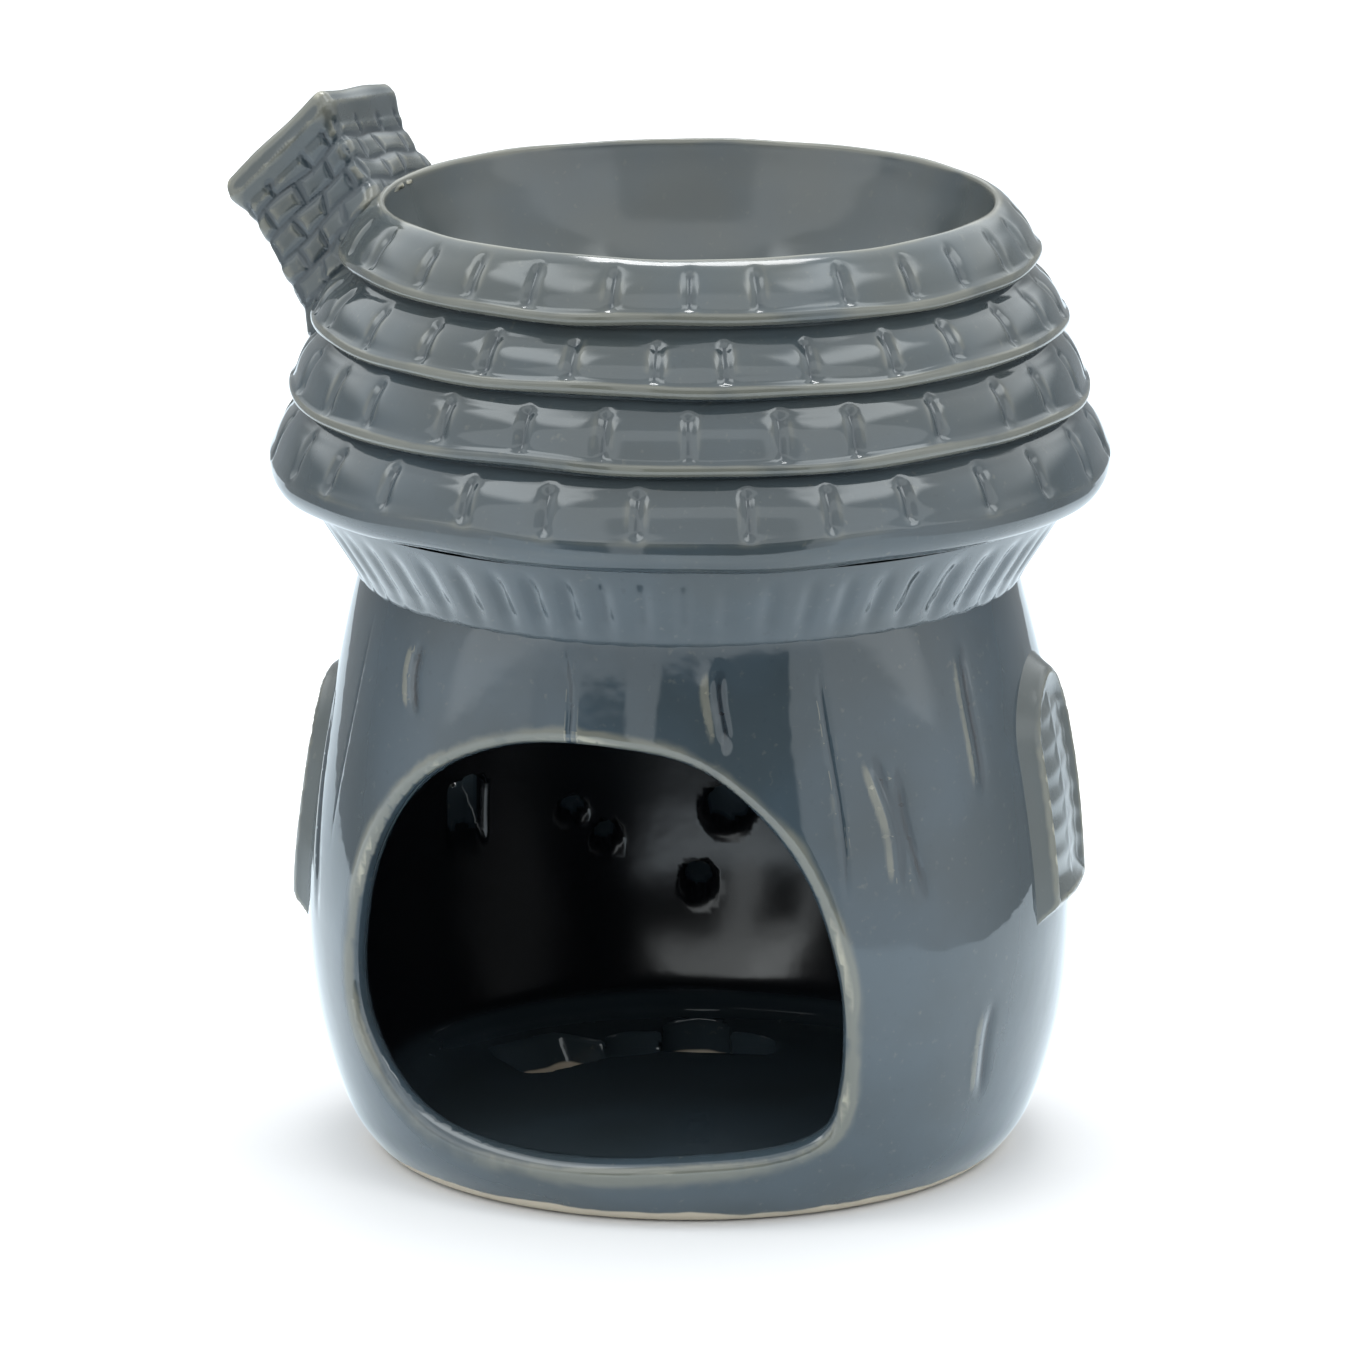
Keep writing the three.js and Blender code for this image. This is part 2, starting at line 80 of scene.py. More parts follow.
# Each vent's azimuth and height at the chamber, then its diameter, or its width and height
ROUND_VENTS = [(213.5, 31.5, 3.6), (207.5, 27.5, 3.6), (191.5, 21.2, 4.2), (186.5, 30.8, 6.2)]
SQUARE_VENT = (234.5, 33.0, 6.0, 9.0)
VENT_LIP = 0.8
VENT_RISE = 1.35  # how much a vent rises for each millimetre on its way out
SQUARE_VENT_RISE = 1.8
VENT_TAPER = 0.09  # how much narrower it gets for each millimetre

# A scratch's top and bottom, each as azimuth and height
PLANK_LINES = [
    (18.3, 72, 18.3, 60), (43.6, 61, 47.6, 41), (46.8, 59, 50.6, 39), (65, 72, 64.5, 50), (64, 27, 64, 12),
    (-39, 71, -37, 61), (-72, 60, -63, 30), (112, 66, 115, 44), (128, 40, 126, 17), (147, 70, 146, 48),
    (168, 58, 170, 41), (196, 69, 194, 50), (-142, 64, -138, 47), (-112, 70, -115, 52),
]
PLANK_HALF_WIDTH = 0.95
PLANK_DEPTH = 0.3
PLANK_BURR = 0.08  # how high the clay stands along a scratch's left side
FINE_LINES = [(35, 73, 37, 40), (-55, 74, -58, 40), (-8, 74, -6, 58)]
FINE_HALF_WIDTH = 0.35
FINE_DEPTH = 0.08
SCRATCH_SHADE = 3.2  # how strongly a scratch's depth darkens the glaze, for each millimetre, as painted shade in the scratch; the burr beside it turns paler by the same factor
SCRATCH_RADIUS = 46.0  # the stalk's radius where a scratch's width is measured
SCRATCH_EDGE = 0.001  # the depth at which a scratch counts as begun
SPLIT_FROM = 0.008  # the depth from which the stalk's mesh is split finer
PROBE = 0.1  # the step over which a scratch's slope is measured

# Cap, as in the CAD model
RIM_TOP = 121.0
RIM_CREST = 38.4
LIP_RADII = [43.9, 47.4, 50.1, 52.6]
LIP_HEIGHTS = [114.2, 106.1, 97.2, 88.8]
HEAD_IN = 1.05  # how far in from the lip above it a course starts
HEAD_DOWN = 2.1  # and how far below it
BEAD = 1.2  # radius of the rounded band along a lip
BEAD_START = math.radians(50)
BEAD_END = math.radians(-100)
BEAD_RISE = 0.2
EAVE_COURSE = 3  # the lowest course has no bead
JOINT_FOOT = 0.82  # the share of a course's fall at which its joints start to run out
EAVE_JOINT_FOOT = 0.72
JOINT_RUN_OUT = 0.3
FACE_FLATNESS = 0.45
SHINGLES = 28
JOINT_HALF_WIDTH = 0.8
JOINT_DEPTH = 0.45
SHINGLE_TILT = 0.22
SHINGLE_CROWN = 0.2  # how far a shingle's sides fall back from its middle
RIPPLE = 0.3
RIPPLE_SPAN = (5.0, 25.0)  # the radii between which it comes in, so that the bowl's middle is smooth
GILLS = 56
GILL_DEPTH = 0.55
GILL_COLUMNS = 11
CREASE = (48.0, 84.2)
GILL_END = (42.4, 75.4)

DISH_OUTLINE = [(0, 98.8), (18.5, 99.2), (28, 102), (33.2, 108.6), (36.3, 116), (37.6, 120.3)]
DISH_WALL = 2.2
DISH_FLOOR = 4.0
AXIS_GAP = 0.02  # the smallest radius of a grid
PLAIN_AZIMUTHS = np.linspace(0, 2 * math.pi, 112, endpoint=False)  # for grids without joints
CAP_WEAR_AND_SHADE = {"bend": 1.5, "passes": 3, "least": -0.7, "most": 0.6}  # as make_piece takes it

# Chimney, as in the CAD model: top centre and the directions of its edges
CHIMNEY_TOP = np.array((-50.9, 5.7, 125.9))
CHIMNEY_AXES = np.array(((0.711, -0.106, 0.694), (0.141, 0.983, -0.12), (-0.531, 0.08, 0.845))).T
STACK_IN = 16.8
STACK_BACK = 21.2
STACK_ROUND = 1.8
CAP_THICKNESS = 3.3
CAP_OVERHANG = 0.9
CAP_ROUND = 1.5
CAP_FLARE = 0.04  # how much wider it is at its top
CAP_BLEND = 2.8  # width of the hollow round between the cap and the stack
BRICK_COURSE = 3.1
BRICKS_IN = 3.5  # bricks across each face
BRICKS_BACK = 3.5
BRICK_JOINT = 0.6
BRICK_DEPTH = 0.3
BRICK_WOBBLE = 0.35
MORTAR_STAIN = 0.9  # how much darker the glaze is in the joints
SKIRT = 1.4  # how far the clay is drawn out where the stack meets the roof
SKIRT_RADII = (38.0, 40.5)  # it comes in between these, so that none of it stands in the bowl
ROOTED = 1.2  # how deep the stack reaches under the roof's face
FLUE_IN = 7.0
FLUE_BACK = 10.0
FLUE_LIP = 1.4
CHIMNEY_CELL = 0.36
CHIMNEY_MARGIN = (3.0, 2.4)  # how far the grid reaches past the chimney, at its low and its high corner

# Windows, as in the CAD model
WINDOW_HALF_WIDTH = 9.8
WINDOW_RISE = 30.0
SILLS = {1: 34.0, -1: 29.5}
WINDOW_BAND = 2.8
WINDOW_PROUD = 2.4
BARS_PROUD = 1.02
PANE_PROUD = 0.84
PANE_ROWS = 7
BAR_HALF_WIDTH = 1.0
FRAME_ROUND = 3.2
WINDOW_CELL = 0.45
WINDOW_MARGIN = 2.4  # how far the grid reaches past the frame
WINDOW_SKIRT = 1.7  # how far the mesh reaches past the frame, over the wall


# Curves and signed distances


def spline(points, steps, closed=False):
    """Points on the Catmull-Rom curve through the given ones."""
    points = np.array(points, float)
    if closed:
        padded = np.vstack((points[-1], points, points[:2]))
    else:
        padded = np.vstack((2 * points[0] - points[1], points, 2 * points[-1] - points[-2]))
    t = np.linspace(0, 1, steps, endpoint=False)[:, None]
    spans = []
    for a, b, c, d in zip(padded, padded[1:], padded[2:], padded[3:]):
        curve = 2 * b + (c - a) * t + (2 * a - 5 * b + 4 * c - d) * t**2 + (3 * b - a - 3 * c + d) * t**3
        spans.append(curve / 2)
    if not closed:
        spans.append(points[-1:])
    return np.vstack(spans)


def blend_max(a, b, width):
    """The larger of two distances, with the corner between them rounded over a width."""
    near = np.maximum(width - np.abs(a - b), 0)
    return np.maximum(a, b) + near * near / (4 * width)


def blend_min(a, b, width):
    return -blend_max(-a, -b, width)


def smooth_step(low, high, value):
    t = np.clip((value - low) / (high - low), 0, 1)
    return t * t * (3 - 2 * t)


def box_distance(offsets, half_sizes, rounding):
    """Distance to a box with rounded edges. offsets and half_sizes hold one entry for each axis."""
    beyond = [np.abs(offset) - half + rounding for offset, half in zip(offsets, half_sizes)]
    outer = np.sqrt(sum(np.maximum(b, 0) ** 2 for b in beyond))
    inner = np.minimum(np.maximum.reduce(beyond), 0)
    return outer + inner - rounding


class OutlineDistance:
    """Signed distance to a closed outline in a plane, looked up in a grid."""

    def __init__(self, outline, cell=0.4, margin=14):
        outline = np.asarray(outline, float)
        self.cell = cell
        self.low = outline.min(0) - margin
        counts = np.ceil((outline.max(0) + margin - self.low) / cell).astype(int) + 1
        u = self.low[0] + cell * np.arange(counts[0])[:, None]
        v = self.low[1] + cell * np.arange(counts[1])[None, :]
        nearest = np.full(counts, np.inf)
        inside = np.zeros(counts, bool)
        for (au, av), (bu, bv) in zip(outline, np.roll(outline, -1, axis=0)):
            du, dv = bu - au, bv - av
            share = np.clip(((u - au) * du + (v - av) * dv) / (du * du + dv * dv), 0, 1)
            gap = (u - au - share * du) ** 2 + (v - av - share * dv) ** 2
            nearest = np.minimum(nearest, gap)
            if av != bv:
                inside ^= ((v >= av) != (v >= bv)) & (u < au + (v - av) * du / dv)
        self.values = np.sqrt(nearest) * np.where(inside, -1, 1)

    def __call__(self, u, v):
        rows, columns = self.values.shape
        row = np.clip((u - self.low[0]) / self.cell, 0, rows - 1.001)
        column = np.clip((v - self.low[1]) / self.cell, 0, columns - 1.001)
        i, j = row.astype(int), column.astype(int)
        a, b = row - i, column - j
        low = self.values[i, j] * (1 - b) + self.values[i, j + 1] * b
        high = self.values[i + 1, j] * (1 - b) + self.values[i + 1, j + 1] * b
        return low * (1 - a) + high * a


# Meshes


def surface_nets(field, low, high, cell):
    """Vertices and quads on a field's zero set, with one vertex in each cell that it crosses."""
    axes = [np.arange(a, b + cell, cell) for a, b in zip(low, high)]
    values = field(np.stack(np.meshgrid(*axes, indexing="ij"), axis=-1))
    inside = values < 0
    shape = tuple(n - 1 for n in values.shape)
    total = np.zeros((*shape, 3))
    count = np.zeros(shape)
    for axis in range(3):
        for far_b in (0, 1):
            for far_c in (0, 1):
                offset = np.zeros(3, int)
                offset[(axis + 1) % 3], offset[(axis + 2) % 3] = far_b, far_c
                near = tuple(slice(o, o + n) for o, n in zip(offset, shape))
                offset[axis] = 1
                far = tuple(slice(o, o + n) for o, n in zip(offset, shape))
                offset[axis] = 0
                crossed = inside[near] != inside[far]
                start, end = values[near][crossed], values[far][crossed]
                place = np.tile(offset.astype(float), (len(start), 1))
                place[:, axis] = start / (start - end)
                total[crossed] += place
                count[crossed] += 1
    active = count > 0
    index = np.full(shape, -1)
    index[active] = np.arange(active.sum())
    corner = np.argwhere(active)
    vertices = np.array(low) + cell * (corner + total[active] / count[active][:, None])
    quads = []
    for axis in range(3):
        b, c = (axis + 1) % 3, (axis + 2) % 3
        inner = [slice(1, -1)] * 3
        start, end = list(inner), list(inner)
        start[axis], end[axis] = slice(0, -1), slice(1, None)
        first, second = inside[tuple(start)], inside[tuple(end)]
        edges = np.argwhere(first != second)
        rising = first[tuple(edges.T)]
        step_b, step_c = np.eye(3, dtype=int)[b], np.eye(3, dtype=int)[c]
        ring = [edges, edges + step_b, edges + step_b + step_c, edges + step_c]
        around = np.stack([index[tuple(cells.T)] for cells in ring], axis=1)
        around[~rising] = around[~rising][:, ::-1]
        quads.append(around)
    return vertices, np.vstack(quads)


def gradient(field, points, reach=0.2):
    parts = []
    for axis in range(3):
        step = np.zeros(3)
        step[axis] = reach
        parts.append((field(points + step) - field(points - step)) / (2 * reach))
    return np.stack(parts, axis=-1)


def field_mesh(field, low, high, cell):
    """A field's zero set as vertices, quads and outward normals, with the vertices moved onto it."""
    vertices, quads = surface_nets(field, low, high, cell)
    for _ in range(3):
        slope = gradient(field, vertices)
        steepness = np.maximum((slope**2).sum(1), 0.05)
        move = field(vertices) / steepness
        vertices -= slope * np.clip(move, -cell / 2, cell / 2)[:, None]
    slope = gradient(field, vertices)
    return vertices, quads, slope / np.linalg.norm(slope, axis=1)[:, None]


def face_normals(vertices, quads):
    across = vertices[quads[:, 2]] - vertices[quads[:, 0]]
    along = vertices[quads[:, 3]] - vertices[quads[:, 1]]
    return np.cross(across, along)


def vertex_normals(vertices, quads):
    """Small faces count for more, which keeps the normals true where faces of different sizes meet."""
    normals = np.zeros_like(vertices)
    of_face = face_normals(vertices, quads)
    of_face /= np.maximum((of_face**2).sum(1), 1e-6)[:, None]
    for corner in range(4):
        for axis in range(3):
            normals[:, axis] += np.bincount(quads[:, corner], of_face[:, axis], len(vertices))
    length = np.linalg.norm(normals, axis=1)[:, None]
    return normals / np.maximum(length, 1e-9)


def wear_and_shade_of(vertices, quads, normals, bend, passes):
    """How strongly a surface turns at each vertex, from -1 in a hollow to 1 on an edge. bend is about the
    curvature of a full edge, for each millimetre, and each pass spreads the result a little."""
    edges = np.vstack([quads[:, [i, (i + 1) % 4]] for i in range(4)])
    start, end = edges[edges[:, 0] != edges[:, 1]].T
    gap = vertices[end] - vertices[start]
    length = np.maximum((gap**2).sum(1), 1e-6)
    turn = ((normals[end] - normals[start]) * gap).sum(1) / length
    count = np.bincount(start, minlength=len(vertices)) + np.bincount(end, minlength=len(vertices))
    count = np.maximum(count, 1)

    def spread(of_start, of_end):
        at_start = np.bincount(start, of_end, len(vertices))
        return (at_start + np.bincount(end, of_start, len(vertices))) / count

    wear_and_shade = np.clip(spread(turn, turn) / bend, -1, 1)
    for _ in range(passes):
        wear_and_shade = (wear_and_shade + spread(wear_and_shade[start], wear_and_shade[end])) / 2
    return np.clip(1.4 * wear_and_shade, -1, 1)


CHAMBER_SHADE_VALUE = -2.0  # the attribute's value for the chamber's near-black painted shade


def make_piece(
    name, parts, slot, replaced, bend=0.6, passes=2, worn=1.0, least=-1.0, most=1.0, stain_and_shade=0.0
):
    """One object that rides on the body, from parts that are (vertices, quads, normals) in millimetres, where
    normals may be None. bend is the curvature that counts as a worn edge, worn the share of the worn edges
    and the darkened hollows that shows, least and most are its limits, and stain darkens the glaze: painted
    shade in the chamber and in scratches, and the mortar's real darkening."""
    base = 0
    all_vertices, all_quads, all_normals = [], [], []
    for vertices, quads, normals in parts:
        all_vertices.append(vertices)
        all_quads.append(quads + base)
        all_normals.append(vertex_normals(vertices, quads) if normals is None else normals)
        base += len(vertices)
    vertices, quads, normals = np.vstack(all_vertices), np.vstack(all_quads), np.vstack(all_normals)
    # Below zero the attribute darkens hollows: pooled glaze, and painted shade.
    wear_and_shade = np.clip(wear_and_shade_of(vertices, quads, normals, bend, passes) * worn, least, most)
    wear_and_shade = np.clip(wear_and_shade - stain_and_shade, CHAMBER_SHADE_VALUE, most)
    mesh = bpy.data.meshes.new(name)
    mesh.from_pydata((vertices / 1000).tolist(), [], quads.tolist())
    mesh.attributes.new("wear_and_shade", "FLOAT", "POINT").data.foreach_set("value", wear_and_shade.astype(np.float32))
    mesh.polygons.foreach_set("use_smooth", np.ones(len(mesh.polygons), bool))
    mesh.normals_split_custom_set_from_vertices(normals.tolist())
    mesh.update()
    piece = bpy.data.objects.new(name, mesh)
    bpy.context.scene.collection.objects.link(piece)
    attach(piece, "root")
    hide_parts(*replaced)
    return piece


def revolve(profile, azimuths, offsets=None, lifts=0.0):
    """A closed grid from a (radius, height) profile that runs up its outside. offsets move its points
    outwards and lifts move them up."""
    profile = np.asarray(profile, float)
    rows, columns = len(profile), len(azimuths)
    radius = np.repeat(profile[:, :1], columns, axis=1)
    height = np.repeat(profile[:, 1:], columns, axis=1)
    if offsets is not None:
        tangent = np.gradient(profile, axis=0)
        tangent /= np.maximum(np.linalg.norm(tangent, axis=1), 1e-9)[:, None]
        radius = radius + tangent[:, 1:] * offsets
        height = height - tangent[:, :1] * offsets
    vertices = np.stack((radius * np.sin(azimuths), -radius * np.cos(azimuths), height + lifts), axis=-1)
    row = np.arange(rows - 1)[:, None] * columns
    column = np.arange(columns)[None, :]
    following = (column + 1) % columns
    above = row + columns
    quads = np.stack((row + column, row + following, above + following, above + column), axis=-1)
    return vertices.reshape(-1, 3), quads.reshape(-1, 4), None


# The stalk

stalk_side = spline(STALK_OUTLINE + STALK_TOP, 40)
stalk_slope = np.gradient(stalk_side[:, 0]) / np.gradient(stalk_side[:, 1])
door_distance = OutlineDistance(spline(DOOR_OUTLINE, 10, closed=True))


def stalk_radius(z):
    return np.interp(z, stalk_side[:, 1], stalk_side[:, 0])


def stalk_outside(p):
    """Distance to the stalk's outer face, which is a little uneven from the hand that smoothed it."""
    x, y, z = p[..., 0], p[..., 1], p[..., 2]
    upright = 1 / np.hypot(1, np.interp(z, stalk_side[:, 1], stalk_slope))
    azimuth = np.arctan2(x, -y)
    uneven = 0.12 * np.sin(3 * azimuth + z / 9) + 0.08 * np.sin(7 * azimuth - z / 6 + 1)
    return (np.hypot(x, y) - stalk_radius(z)) * upright + uneven * smooth_step(0, 12, z)


def door_space(p, outside):
    inwards = (p[..., 1] - DOOR_FACE_Y) / (DOOR_INNER_Y - DOOR_FACE_Y)
    scale = 1 + (DOOR_INNER_SCALE - 1) * np.clip(inwards, 0, 1)
    across, up = p[..., 0] - DOOR_CENTRE[0], p[..., 2] - DOOR_CENTRE[1]
    lower_left = smooth_step(-15, 25, -across - up)
    flare = DOOR_FLARE[0] + (DOOR_FLARE[1] - DOOR_FLARE[0]) * lower_left
    flare = flare * np.clip(1 + outside / WALL * (1 - DOOR_SINK), DOOR_SINK, 1)
    distance = door_distance(DOOR_CENTRE[0] + across / scale, DOOR_CENTRE[1] + up / scale) * scale
    return np.maximum(distance - flare, p[..., 1] - DOOR_INNER_Y)


def vent_axes(p, azimuth, height, rise=VENT_RISE):
    """A point's offsets across a vent, sideways and upwards, the vent's scale there, and how far out it is.
    A vent rises and narrows on its way out, so that the chamber stays dark from in front."""
    turn = math.radians(azimuth)
    sideways = p[..., 0] * math.cos(turn) + p[..., 1] * math.sin(turn)
    outwards = p[..., 0] * math.sin(turn) - p[..., 1] * math.cos(turn)
    way_out = outwards - (stalk_radius(height) - WALL)
    return sideways, p[..., 2] - height - rise * way_out, 1 - VENT_TAPER * way_out, outwards


def vent_spaces(p):
    for azimuth, height, diameter in ROUND_VENTS:
        sideways, up, scale, outwards = vent_axes(p, azimuth, height)
        yield np.maximum(np.hypot(sideways, up) - scale * diameter / 2, 20 - outwards)
    azimuth, height, width, rise = SQUARE_VENT
    sideways, up, scale, outwards = vent_axes(p, azimuth, height, SQUARE_VENT_RISE)
    square = box_distance((sideways / scale, up / scale), (width / 2, rise / 2), 1.2)
    yield np.maximum(square * scale, 20 - outwards)


def stalk_field(p):
    outside = stalk_outside(p)
    z = p[..., 2]
    chamber = blend_max(outside + WALL, FLOOR_TOP - z, FLOOR_ROUND)
    body = blend_max(blend_max(outside, -z, FOOT_ROUND), -chamber, 0.5)
    body = np.maximum(body, z - STALK_TOP[0][1])
    x, lip_z, reach, extra = BROAD_LIP
    away = np.hypot(p[..., 0] - x, z - lip_z)
    lip = DOOR_LIP + extra * np.exp(-((away / reach) ** 2)) - TOP_LIP_LOSS * smooth_step(*TOP_LIP_SPAN, z)
    body = blend_max(body, -door_space(p, outside), lip)
    for space in vent_spaces(p):
        body = blend_max(body, -space, VENT_LIP)
    return body


def scratch_depth(p, line, half_width, depth, burr):
    """How deep one scratch is at points on the stalk, with the burr along it below zero. Its ends fade."""
    top_azimuth, top, bottom_azimuth, bottom = line
    share = (top - p[:, 2]) / (top - bottom)
    middle = top_azimuth + (bottom_azimuth - top_azimuth) * share + 0.5 * np.sin(6 * share + top)
    azimuth = np.degrees(np.arctan2(p[:, 0], -p[:, 1]))
    away = np.radians((azimuth - middle + 180) % 360 - 180) * SCRATCH_RADIUS / half_width
    fade = smooth_step(0, 0.3, share) * smooth_step(1, 0.7, share)
    return fade * (depth * np.exp(-(away**2)) - burr * np.exp(-((away + 2) ** 2)))


def plank_scratches(p):
    """How deep all the scratches are at points on the stalk."""
    outer = np.hypot(p[:, 0], p[:, 1]) > stalk_radius(p[:, 2]) - 1
    total = sum(scratch_depth(p, line, PLANK_HALF_WIDTH, PLANK_DEPTH, PLANK_BURR) for line in PLANK_LINES)
    total = total + sum(scratch_depth(p, line, FINE_HALF_WIDTH, FINE_DEPTH, 0) for line in FINE_LINES)
    return total * outer


def refine(vertices, quads, normals, chosen):
    """Splits the chosen quads into nine each. Their rims keep their shape, so no crack shows."""
    kept, split = quads[~chosen], quads[chosen]
    steps = np.linspace(0, 1, 4)
    u, v = np.meshgrid(steps, steps, indexing="ij")
    weights = np.stack(((1 - u) * (1 - v), u * (1 - v), u * v, (1 - u) * v), axis=-1).reshape(16, 4)
    added = np.einsum("wc,fcx->fwx", weights, vertices[split]).reshape(-1, 3)
    added_normals = np.einsum("wc,fcx->fwx", weights, normals[split]).reshape(-1, 3)
    added_normals /= np.linalg.norm(added_normals, axis=1)[:, None]
    cells = [(4 * i + j, 4 * i + j + 4, 4 * i + j + 5, 4 * i + j + 1) for i in range(3) for j in range(3)]
    base = len(vertices) + 16 * np.arange(len(split))[:, None, None]
    fine = (base + np.array(cells)[None]).reshape(-1, 4)
    return np.vstack((vertices, added)), np.vstack((kept, fine)), np.vstack((normals, added_normals))


def press_scratches(vertices, normals):
    """The stalk's vertices with the scratches pressed in, their tilted normals, and the depth at each."""
    depth = plank_scratches(vertices)
    steps = np.array([plank_scratches(vertices + PROBE * axis) for axis in np.eye(3)]).T
    slope = (steps - depth[:, None]) / PROBE
    slope -= (slope * normals).sum(1)[:, None] * normals
    tilted = normals + slope * (np.abs(depth) > SCRATCH_EDGE)[:, None]
    tilted /= np.linalg.norm(tilted, axis=1)[:, None]
    return vertices - normals * depth[:, None], tilted, depth


def stalk_looks(vertices, depth):
    """The share of the worn edges and darkened hollows that shows at each vertex of the stalk, and the
    painted shade of the chamber's inner wall and of the scratches.
    """
    outside = stalk_outside(vertices)
    scratch_wear = 0.25 + 0.65 * smooth_step(0.01, 0.06, np.abs(depth))
    worn = smooth_step(-1.4, -0.3, outside) * np.where(np.abs(depth) > SCRATCH_EDGE, scratch_wear, 1)
    # Painted shade: the chamber's inner wall is painted near black above its floor.
    chamber_shade = -CHAMBER_SHADE_VALUE * smooth_step(FLOOR_TOP + 0.1, FLOOR_TOP + 4, vertices[:, 2])
    # Painted shade: outside the chamber, each scratch is painted darker with its depth, and its burr paler.
    return worn, np.where(outside < -CHAMBER_SHADE_FROM, chamber_shade, SCRATCH_SHADE * depth)


def build_stalk():
    """The wall, and the flat of the chamber's floor as a piece of its own."""
    sideways, upwards = STALK_MARGIN
    reach = max(radius for radius, _ in STALK_OUTLINE) + sideways
    low, high = (-reach, -reach, -upwards), (reach, reach, STALK_TOP[0][1] + upwards)
    vertices, quads, normals = field_mesh(stalk_field, low, high, STALK_CELL)
    near = np.abs(plank_scratches(vertices[quads].mean(1))) > SPLIT_FROM
    vertices, quads, normals = refine(vertices, quads, normals, near)
    vertices, normals, depth = press_scratches(vertices, normals)
    centres = vertices[quads].mean(1)
    in_floor = (np.hypot(centres[:, 0], centres[:, 1]) < FLAT_FLOOR) & (centres[:, 2] < FLOOR_TOP + 1.5)
    worn, stain_and_shade = stalk_looks(vertices, depth)
    wall, floor = (vertices, quads[~in_floor], normals), (vertices, quads[in_floor], normals)
    return [
        make_piece("stalk_wall_glazed", [wall], "slate_glaze", ["stalk_wall"], worn=worn, stain_and_shade=stain_and_shade),
        make_piece("floor_slab_glazed", [floor], "bare_clay", ["floor_slab"], worn=0.0),
    ]


# The cap and the dish


def course_head(course):
    if course == 0:
        return RIM_CREST, RIM_TOP
    return LIP_RADII[course - 1] - HEAD_IN, LIP_HEIGHTS[course - 1] - HEAD_DOWN


def bead_arc(course):
    """The bead along a lip, from the foot of the shingles round to its underside."""
    angle = np.linspace(BEAD_START, BEAD_END, 12)
    radius = LIP_RADII[course] - BEAD + BEAD * np.cos(angle)
    return np.stack((radius, LIP_HEIGHTS[course] + BEAD_RISE + BEAD * np.sin(angle)), axis=-1)


def course_profile(course, steps=20):
    """A course from its head to its bead or eave, as points and the share of the joints' depth at each."""
    head_radius, head_height = course_head(course)
    end_radius, end_height = LIP_RADII[course], LIP_HEIGHTS[course]
    if course < EAVE_COURSE:
        end_radius, end_height = bead_arc(course)[0]
    share = np.linspace(0, 1, steps)
    angle = share * math.pi / 2
    outwards = np.sin(angle) + FACE_FLATNESS * (share - np.sin(angle))
    downwards = 1 - np.cos(angle) + FACE_FLATNESS * (share - 1 + np.cos(angle))
    radius = head_radius + (end_radius - head_radius) * outwards
    height = head_height + (end_height - head_height) * downwards
    depth = smooth_step(0.15, 0.45, share) if course == 0 else smooth_step(-0.05, 0.25, share)
    foot = EAVE_JOINT_FOOT if course == EAVE_COURSE else JOINT_FOOT
    depth = depth * (1 - smooth_step(foot, foot + JOINT_RUN_OUT, downwards))
    return np.stack((radius, height), axis=-1), depth


def lip_curl(course):
    """Round a lip's bead into the groove under it. The last point is tucked behind the next course."""
    steps_in, steps_down = np.array([1.6, 2.3]), np.array([1.1, 1.9])
    groove = np.stack((LIP_RADII[course] - steps_in, LIP_HEIGHTS[course] - steps_down), axis=-1)
    return np.vstack((bead_arc(course)[1:], groove))


def groove_floor(course):
    """From behind the lip above a course out to the course's head, over the rounded foot of the groove."""
    steps_in, steps_down = np.array([2.3, 1.7, 1.35]), np.array([0.9, 1.35, 1.75])
    return np.stack((LIP_RADII[course - 1] - steps_in, LIP_HEIGHTS[course - 1] - steps_down), axis=-1)


def joint_azimuths(course):
    """Where a course's joints lie: half a shingle on from the course above, and a little uneven."""
    pitch = 2 * math.pi / SHINGLES
    number = np.arange(SHINGLES)
    uneven = 0.07 * np.sin(2.3 * number + 1.7 * course) + 0.06 * np.sin(5.1 * number + course)
    return pitch * (number + (course % 2) / 2 + uneven)


def course_columns(course):
    """Azimuths packed round the joints, each with its distance from the nearest joint and the share of the
    way across its shingle."""
    joints = joint_azimuths(course)
    widths = np.diff(np.append(joints, joints[0] + 2 * math.pi))
    radius = LIP_RADII[course] - 1
    close = np.array([0, 0.25, 0.5, 0.75, 1.0, 1.25, 1.5, 1.9, 2.7, 3.6])
    azimuths, away, share = [], [], []
    for start, width in zip(joints, widths):
        length = width * radius
        places = np.concatenate((close, [length / 2], length - close[:0:-1]))
        azimuths.append(start + places / radius)
        away.append(np.minimum(places, length - places))
        share.append(places / length)
    return np.concatenate(azimuths), np.concatenate(away), np.concatenate(share)


def shingle_offsets(course, depth, away, share):
    """How far each point of a course lies in from the profile: joints, rounded and tilted shingles."""
    joint = JOINT_DEPTH * np.exp(-((away / JOINT_HALF_WIDTH) ** 2))
    number = np.cumsum(share == 0)
    lean = np.sin(4.7 * number + 2.1 * course + 0.6)
    rock = np.sin(2.9 * number + 1.3 * course)
    across = 2 * share - 1
    face = SHINGLE_CROWN * across**4 + SHINGLE_TILT * (0.5 + 0.5 * lean * across)
    down = np.linspace(0, 1, len(depth))[:, None]
    tilt = SHINGLE_TILT * (0.5 + 0.5 * rock[None, :] * (2 * down - 1)) * (1 - np.abs(across) ** 6)[None, :]
    return -depth[:, None] * ((joint + face)[None, :] + tilt)


def ripple(azimuths, course):
    """A gentle hand-made unevenness that never stands out of the profile."""
    slow = np.sin(4 * azimuths + course) + np.sin(9 * azimuths + 2.2 * course)
    waves = slow + 0.6 * np.sin(17 * azimuths - course)
    return -RIPPLE * (waves + 2.6) / 5.2


